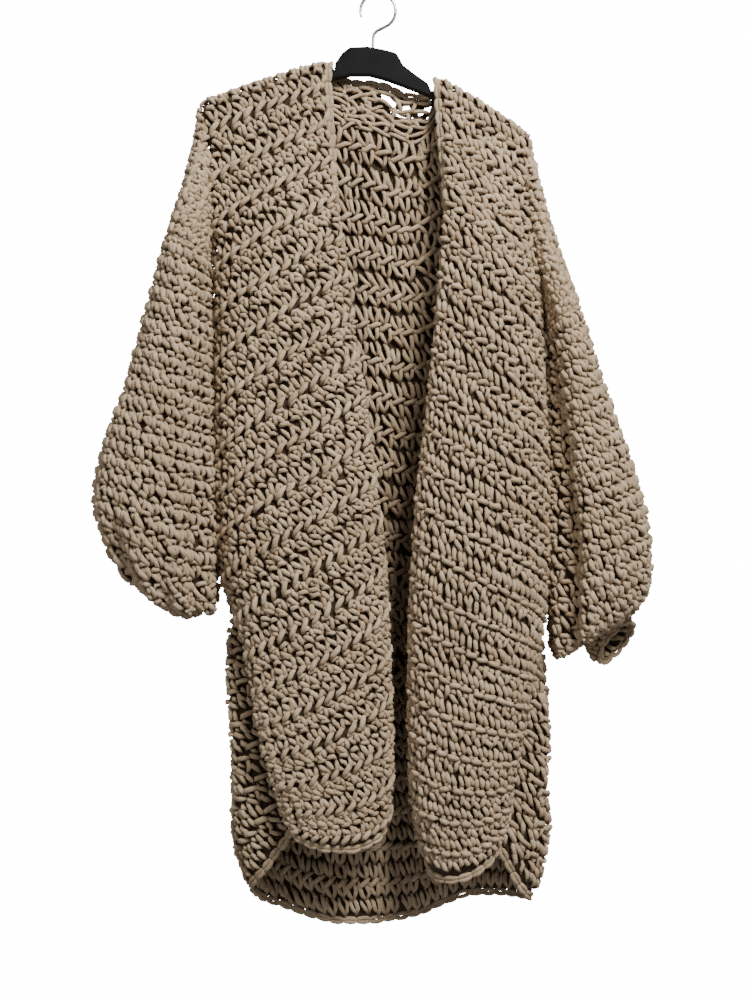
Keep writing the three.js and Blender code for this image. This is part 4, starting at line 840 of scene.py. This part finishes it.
# Each stitch of a sleeve: a thick slanting loop, and a hood whose leg comes down at its right.
SCALE = [[(-6.4, 3.6, -1.8), (-4.2, 8.2, 2), (-1.2, 13, 2.2), (2.6, 18.6, -1.6)],
         [(-5.2, 1.8, -1.8), (-1.2, -.6, 1), (3, .6, 1.2), (6.8, 4.6, -1.6)],
         [(3.2, 3.4, -2), (6.2, 8, 1.3), (6.8, 13, 1.3), (5, 19.4, -2)],
         [(-.8, 4, -2.2), (1.6, 8, .5), (2.8, 13, -2.4)]]
sleeves, cuffs = {}, {}
for sign, name in ((-1, "left"), (1, "right")):
    tube = sleeves[sign] = sleeve_surface(sign)
    seats = stitch_seats(tube, np.arange(0.5, tube.reach[-1] - SLEEVE_HEM_CLEAR, SLEEVE_ROW), stagger=0.5)
    loops = (stitches(tube, seats, SCALE[:1], radius=SCALE_RADIUS, jitter=1.1)
             + stitches(tube, seats, SCALE[1:], jitter=1.1))
    panel(f"sleeve_{name}", [tube], loops, [front_cloths[sign]], **GROUND)
    end = {key: values[-1] for key, values in SLEEVES[sign].items()}
    axis = ring_axis(sign, end)
    reach = np.linspace(2 * SEAM_GAP, CUFF_LENGTH[sign], CUFF_RINGS)
    share = (reach - reach[0]) / (reach[-1] - reach[0])
    radius = CUFF_RADIUS + (CUFF_SWELL * np.sin(np.pi * share) + CUFF_FLARE * share**2)[:, None]
    ring = {**end, "half": radius, "depth": radius, "pitch": end["pitch"] + CUFF_BEND[sign] * share[:, None]}
    angle = np.arange(CUFF_SIDES)[None, :] * 2 * np.pi / CUFF_SIDES
    points = arm_ring(sign, ring, angle) + ring_axis(sign, ARM_END[sign]) * SEAM_GAP
    points = points + axis * reach[:, None, None]
    tube = cuffs[sign] = tube_cloth(points, points.mean(axis=1))

# The cuffs' stitches, and the edging: one round of chain stitches worked along the cuffs' mouths,
# the neck, the front edges, the hems and the slits, long plump loops lying end to end. The same
# chain, pulled tighter, closes the seams.
CHAIN_LOOP, CHAIN_RADIUS, CHAIN_WOBBLE, CHAIN_STRAY = 17.2, 2.9, 0.35, 0.05
CHAIN_TAPER = [0.7, 1.0, 1.06, 0.95, 0.7]
BAND_OUT, EDGING_PAINTED_SHADE_HEIGHT = 3.8, 1.7
# Steps of the lattice from an edge to the points that give the way out of the cloth.
RIM_IN = 3
# The two loops of a chain stitch, side by side as mirror images: an easy pair and a tight one.
CHAIN, TIGHT = [[[(-1, s * 0.4, -0.8), (4, s * wide, low), (11.5, s * (wide + 0.1), high),
                  (18.6, s * 0.6, -0.6)] for s in (1, -1)]
                for wide, low, high in ((2.5, 0.8, 0.9), (1.7, 0.4, 0.4))]
# The stitches of a cuff, drawn small by the gathering: a slanting loop and one that crosses its top.
CUFF_ROW, CUFF_HEM_CLEAR, CUFF_OUTER, CUFF_INNER = 8.5, 6.0, -1.8, -4.5
KNOT = [[(-5.6, -.5, -2), (-3, 3.4, 1.3), (.4, 7, 1.4), (4.4, 11, -2)],
        [(.4, -1.2, -2), (3.6, 1.4, .9), (6, 5, .9), (6.6, 9.6, -2.2)]]


def chain(line, inside, normal, loops=CHAIN, out=BAND_OUT, sink=WALL / 2, radius=CHAIN_RADIUS):
    """Loops end to end along an edge: each is laid in the frame of the edge's direction, the way
    out of the cloth in its own plane, and the cloth's normal."""
    along = unit(np.gradient(line, axis=0))
    away = line - inside
    away -= normal * np.sum(away * normal, axis=1, keepdims=True)
    away = unit(away - along * np.sum(away * along, axis=1, keepdims=True))
    centre = line + away * out - normal * sink
    reach = np.concatenate([[0], np.cumsum(np.linalg.norm(np.diff(centre, axis=0), axis=1))])
    count = max(1, int(round(reach[-1] / CHAIN_LOOP)))
    pitch = reach[-1] / count
    tone = draw.uniform(0, 1, count)
    meshes = []
    for controls in loops:
        a, b, h = loop_shape(np.array([controls]), len(CHAIN_TAPER))[0].T
        at = np.clip((np.arange(count)[:, None] + a / CHAIN_LOOP) * pitch, 0, reach[-1])

        def read(values):
            return np.stack([np.interp(at, reach, values[:, k]) for k in range(3)], axis=-1)

        wobble = draw.normal(0, CHAIN_WOBBLE, (count, 1))
        middle = read(centre) + read(away) * (b + wobble)[..., None] + read(normal) * h[..., None]
        thick = radius * np.array(CHAIN_TAPER) * (1 + draw.normal(0, CHAIN_STRAY, count))[:, None]
        verts, faces, shade = strand_mesh(middle, read(normal), thick, tone, 0.0)
        # The edging takes one even share of painted shade all along, the share of pile at this height.
        shade[:, 1] = EDGING_PAINTED_SHADE_HEIGHT
        meshes.append((verts, faces, shade))
    return meshes


def rim(sheet, rows, columns, down=0, right=0):
    """Points of an edge of the lattice, those some steps down and right, inside it, and normals."""
    edge, inside = sheet.points[rows, columns], sheet.points[rows + down, columns + right]
    return edge, inside, sheet.normals[rows, columns]


def joined(*edges):
    """Edges end to end, without the doubled points."""
    return [np.concatenate([e[k][(0 if n == 0 else 1):] for n, e in enumerate(edges)]) for k in range(3)]


def slit_row(sheet, side, sign):
    """First row of the lattice below the slit's top on one side."""
    return int(np.argmax(sheet.points[:, side, 2] < SLIT_Z[sign] - SLIT_RUN))


def hem_round(sheet, first, start, stop):
    """The edge down the first side from a row, along the hem, and up the other side to a row."""
    last, inward = sheet.points.shape[0] - 1, RIM_IN if first == 0 else -RIM_IN
    across = np.arange(sheet.points.shape[1])[::1 if first == 0 else -1]
    down, up = np.arange(start, last + 1), np.arange(last, stop - 1, -1)
    return joined(rim(sheet, down, first, right=inward), rim(sheet, last, across, down=-RIM_IN),
                  rim(sheet, up, -1 - first, right=-inward))


for sign, name in ((-1, "left"), (1, "right")):
    tube = cuffs[sign]
    seats = stitch_seats(tube, np.arange(0.0, tube.reach[-1] - CUFF_HEM_CLEAR, CUFF_ROW), stagger=0.5)
    cuff = stitches(tube, seats, KNOT, jitter=1.2) + stitches(tube, seats, KNOT[:1], inside=True)
    mouth = np.arange(CUFF_SIDES + 1) % CUFF_SIDES
    cuff += chain(*rim(tube, -1, mouth, down=-2), out=1.0)
    panel(f"cuff_{name}", [tube], cuff, [f"sleeve_{name}"], CUFF_OUTER, CUFF_INNER, rows=2)
    s = fronts[sign]
    edge = hem_round(s, 0, 0, slit_row(s, -1, sign))
    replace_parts(piece(f"front_{name}_edging", chain(*edge), yarn), f"band_front_{name}")

edge = hem_round(back, -1, slit_row(back, -1, 1), slit_row(back, 0, -1))
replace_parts(piece("back_hem_edging", chain(*edge), yarn), "band_back_hem")
neck = np.arange((NECK_FIRST - 1) * BACK_FINE, (NECK_LAST + 1) * BACK_FINE + 1)
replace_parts(piece("neck_edging", chain(*rim(back, 0, neck, down=RIM_IN)), yarn), "band_neck")

seams = []
for sign in (-1, 1):
    s, arm, tube = fronts[sign], front_arms[sign], sleeves[sign]
    pit = int(np.sum(s.reach <= FRONTS[sign]["arm_rows"] * HALF_ROW + NEAR)) - 1
    top, out = np.arange(s.points.shape[1]), np.arange(arm.points.shape[1])
    side, ring = np.arange(pit, slit_row(s, -1, sign) + 1), np.append(np.arange(tube.points.shape[1]), 0)
    for edge, away, sink, radius in (
            (joined(rim(s, 0, top, down=RIM_IN), rim(arm, 0, out, down=RIM_IN)), 0.0, 0.0, 2.4),
            (rim(s, side, -1, right=-RIM_IN), -0.5, 0.0, 2.2),
            (rim(tube, 0, ring, down=RIM_IN), 0.0, 0.5, 2.2)):
        seams += chain(*edge, TIGHT, away, sink, radius)
piece("seam_stitches", seams, yarn)

# The hanger: moulded polypropylene with a fine spark texture, satin black, and a bent wire hook of
# bright drawn steel.
SPARKS_PER_METRE = 1600.0


def hard_finish(name, marks, detail, smoothest, roughest, tints, inputs):
    """A hard material whose roughness and tint drift with one pattern of so many marks a metre."""
    made = new_material(name)
    place = add_node(made, "TexCoord").outputs["Object"]
    drift = add_node(made, "TexNoise", {"Vector": place, "Scale": marks, "Detail": detail}).outputs["Fac"]
    rough = add_node(made, "MapRange", {"Value": drift, "To Min": smoothest, "To Max": roughest})
    tint = add_node(made, "ValToRGB", {"Fac": drift}, tints)
    shader = add_node(made, "BsdfPrincipled", {
        "Base Color": tint.outputs["Color"], "Roughness": rough.outputs["Result"], **inputs})
    add_node(made, "OutputMaterial", {"Surface": shader.outputs["BSDF"]})
    return made, place, shader


plastic, place, shader = hard_finish("moulded_black_polypropylene", 30.0, 3.0, 0.34, 0.5,
                                     ((0.3, "#070707"), (0.7, "#0C0C0D")),
                                     {"IOR": 1.49, "Specular IOR Level": 0.12})
grain = add_node(plastic, "TexNoise", {"Vector": place, "Scale": SPARKS_PER_METRE}).outputs["Fac"]
bump = add_node(plastic, "Bump", {"Strength": 0.25, "Distance": 0.0002, "Height": grain})
plastic.node_tree.links.new(bump.outputs["Normal"], shader.inputs["Normal"])
steel = hard_finish("drawn_steel_wire", 900.0, 2.0, 0.2, 0.38,
                    ((0.3, "#A9ABAD"), (0.7, "#C2C4C6")), {"Metallic": 1.0})[0]
for node_name, finish in (("hanger_body", plastic), ("hanger_hook", steel)):
    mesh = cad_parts[node_name].data
    mesh.materials.clear()
    mesh.materials.append(finish)

# A plain pale floor far below the hanging garment, soft studio light from the upper right in front
# and a little from the left and behind, and the camera straight in front of the photograph's middle.
FLOOR_Z, FLOOR_RADIUS, FLOOR_SIDES = -1.9, 1.7, 96
turn = np.arange(FLOOR_SIDES) * 2 * np.pi / FLOOR_SIDES
floor_mesh = bpy.data.meshes.new("floor")
floor_mesh.from_pydata(
    np.stack([FLOOR_RADIUS * np.cos(turn), FLOOR_RADIUS * np.sin(turn), turn * 0 + FLOOR_Z], axis=-1),
    [], [list(range(FLOOR_SIDES))])
floor = put("floor", floor_mesh)
pale = new_material("pale_matt_floor")
shader = add_node(pale, "BsdfPrincipled", {
    "Base Color": linear("#F2F1EF"), "Roughness": 0.9, "Emission Color": linear("#F4F3F1"),
    "Emission Strength": 0.9})
add_node(pale, "OutputMaterial", {"Surface": shader.outputs["BSDF"]})
floor_mesh.materials.append(pale)
# The floor is far below a real garment in a room, and throws no light up on this one.
floor.visible_diffuse = False

# The backdrop that the camera sees is white paper lit apart from the garment, brighter than the
# soft light that it gives.
SOFT_STRENGTH, BACKDROP_STRENGTH = 0.26, 16.0
world = bpy.data.worlds.new("studio")
bpy.context.scene.world = world
world.use_nodes = True
background = world.node_tree.nodes["Background"]
background.inputs["Color"].default_value = linear("#FFFFFF")
seen = add_node(world, "LightPath").outputs["Is Camera Ray"]
level = add_node(world, "MapRange", {
    "Value": seen, "To Min": SOFT_STRENGTH, "To Max": BACKDROP_STRENGTH})
world.node_tree.links.new(level.outputs["Result"], background.inputs["Strength"])


def soft_light(name, place, aim, size, power):
    """A square area light that faces its aim."""
    data = bpy.data.lights.new(name, "AREA")
    data.shape, data.size, data.energy = "SQUARE", size, power
    made = put(name, data)
    made.location = place
    made.rotation_euler = (Vector(aim) - Vector(place)).to_track_quat("-Z", "Y").to_euler()


MIDDLE = (0.0, 0.0, -0.6)
soft_light("key", (0.85, -1.75, 1.2), MIDDLE, 0.8, 113)
soft_light("fill", (-1.9, -1.6, 0.2), MIDDLE, 1.4, 10)
soft_light("rear", (-0.6, 2.4, 0.9), MIDDLE, 1.2, 36)

CAMERA_PLACE = (-0.00375, -1.75, -0.63125)
SENSOR_HEIGHT, LENS = 24.0, 33.6
camera_data = bpy.data.cameras.new("camera")
camera_data.sensor_fit, camera_data.sensor_height, camera_data.lens = "VERTICAL", SENSOR_HEIGHT, LENS
camera = put("camera", camera_data)
camera.location = CAMERA_PLACE
camera.rotation_euler = (np.pi / 2, 0, 0)
bpy.context.scene.camera = camera
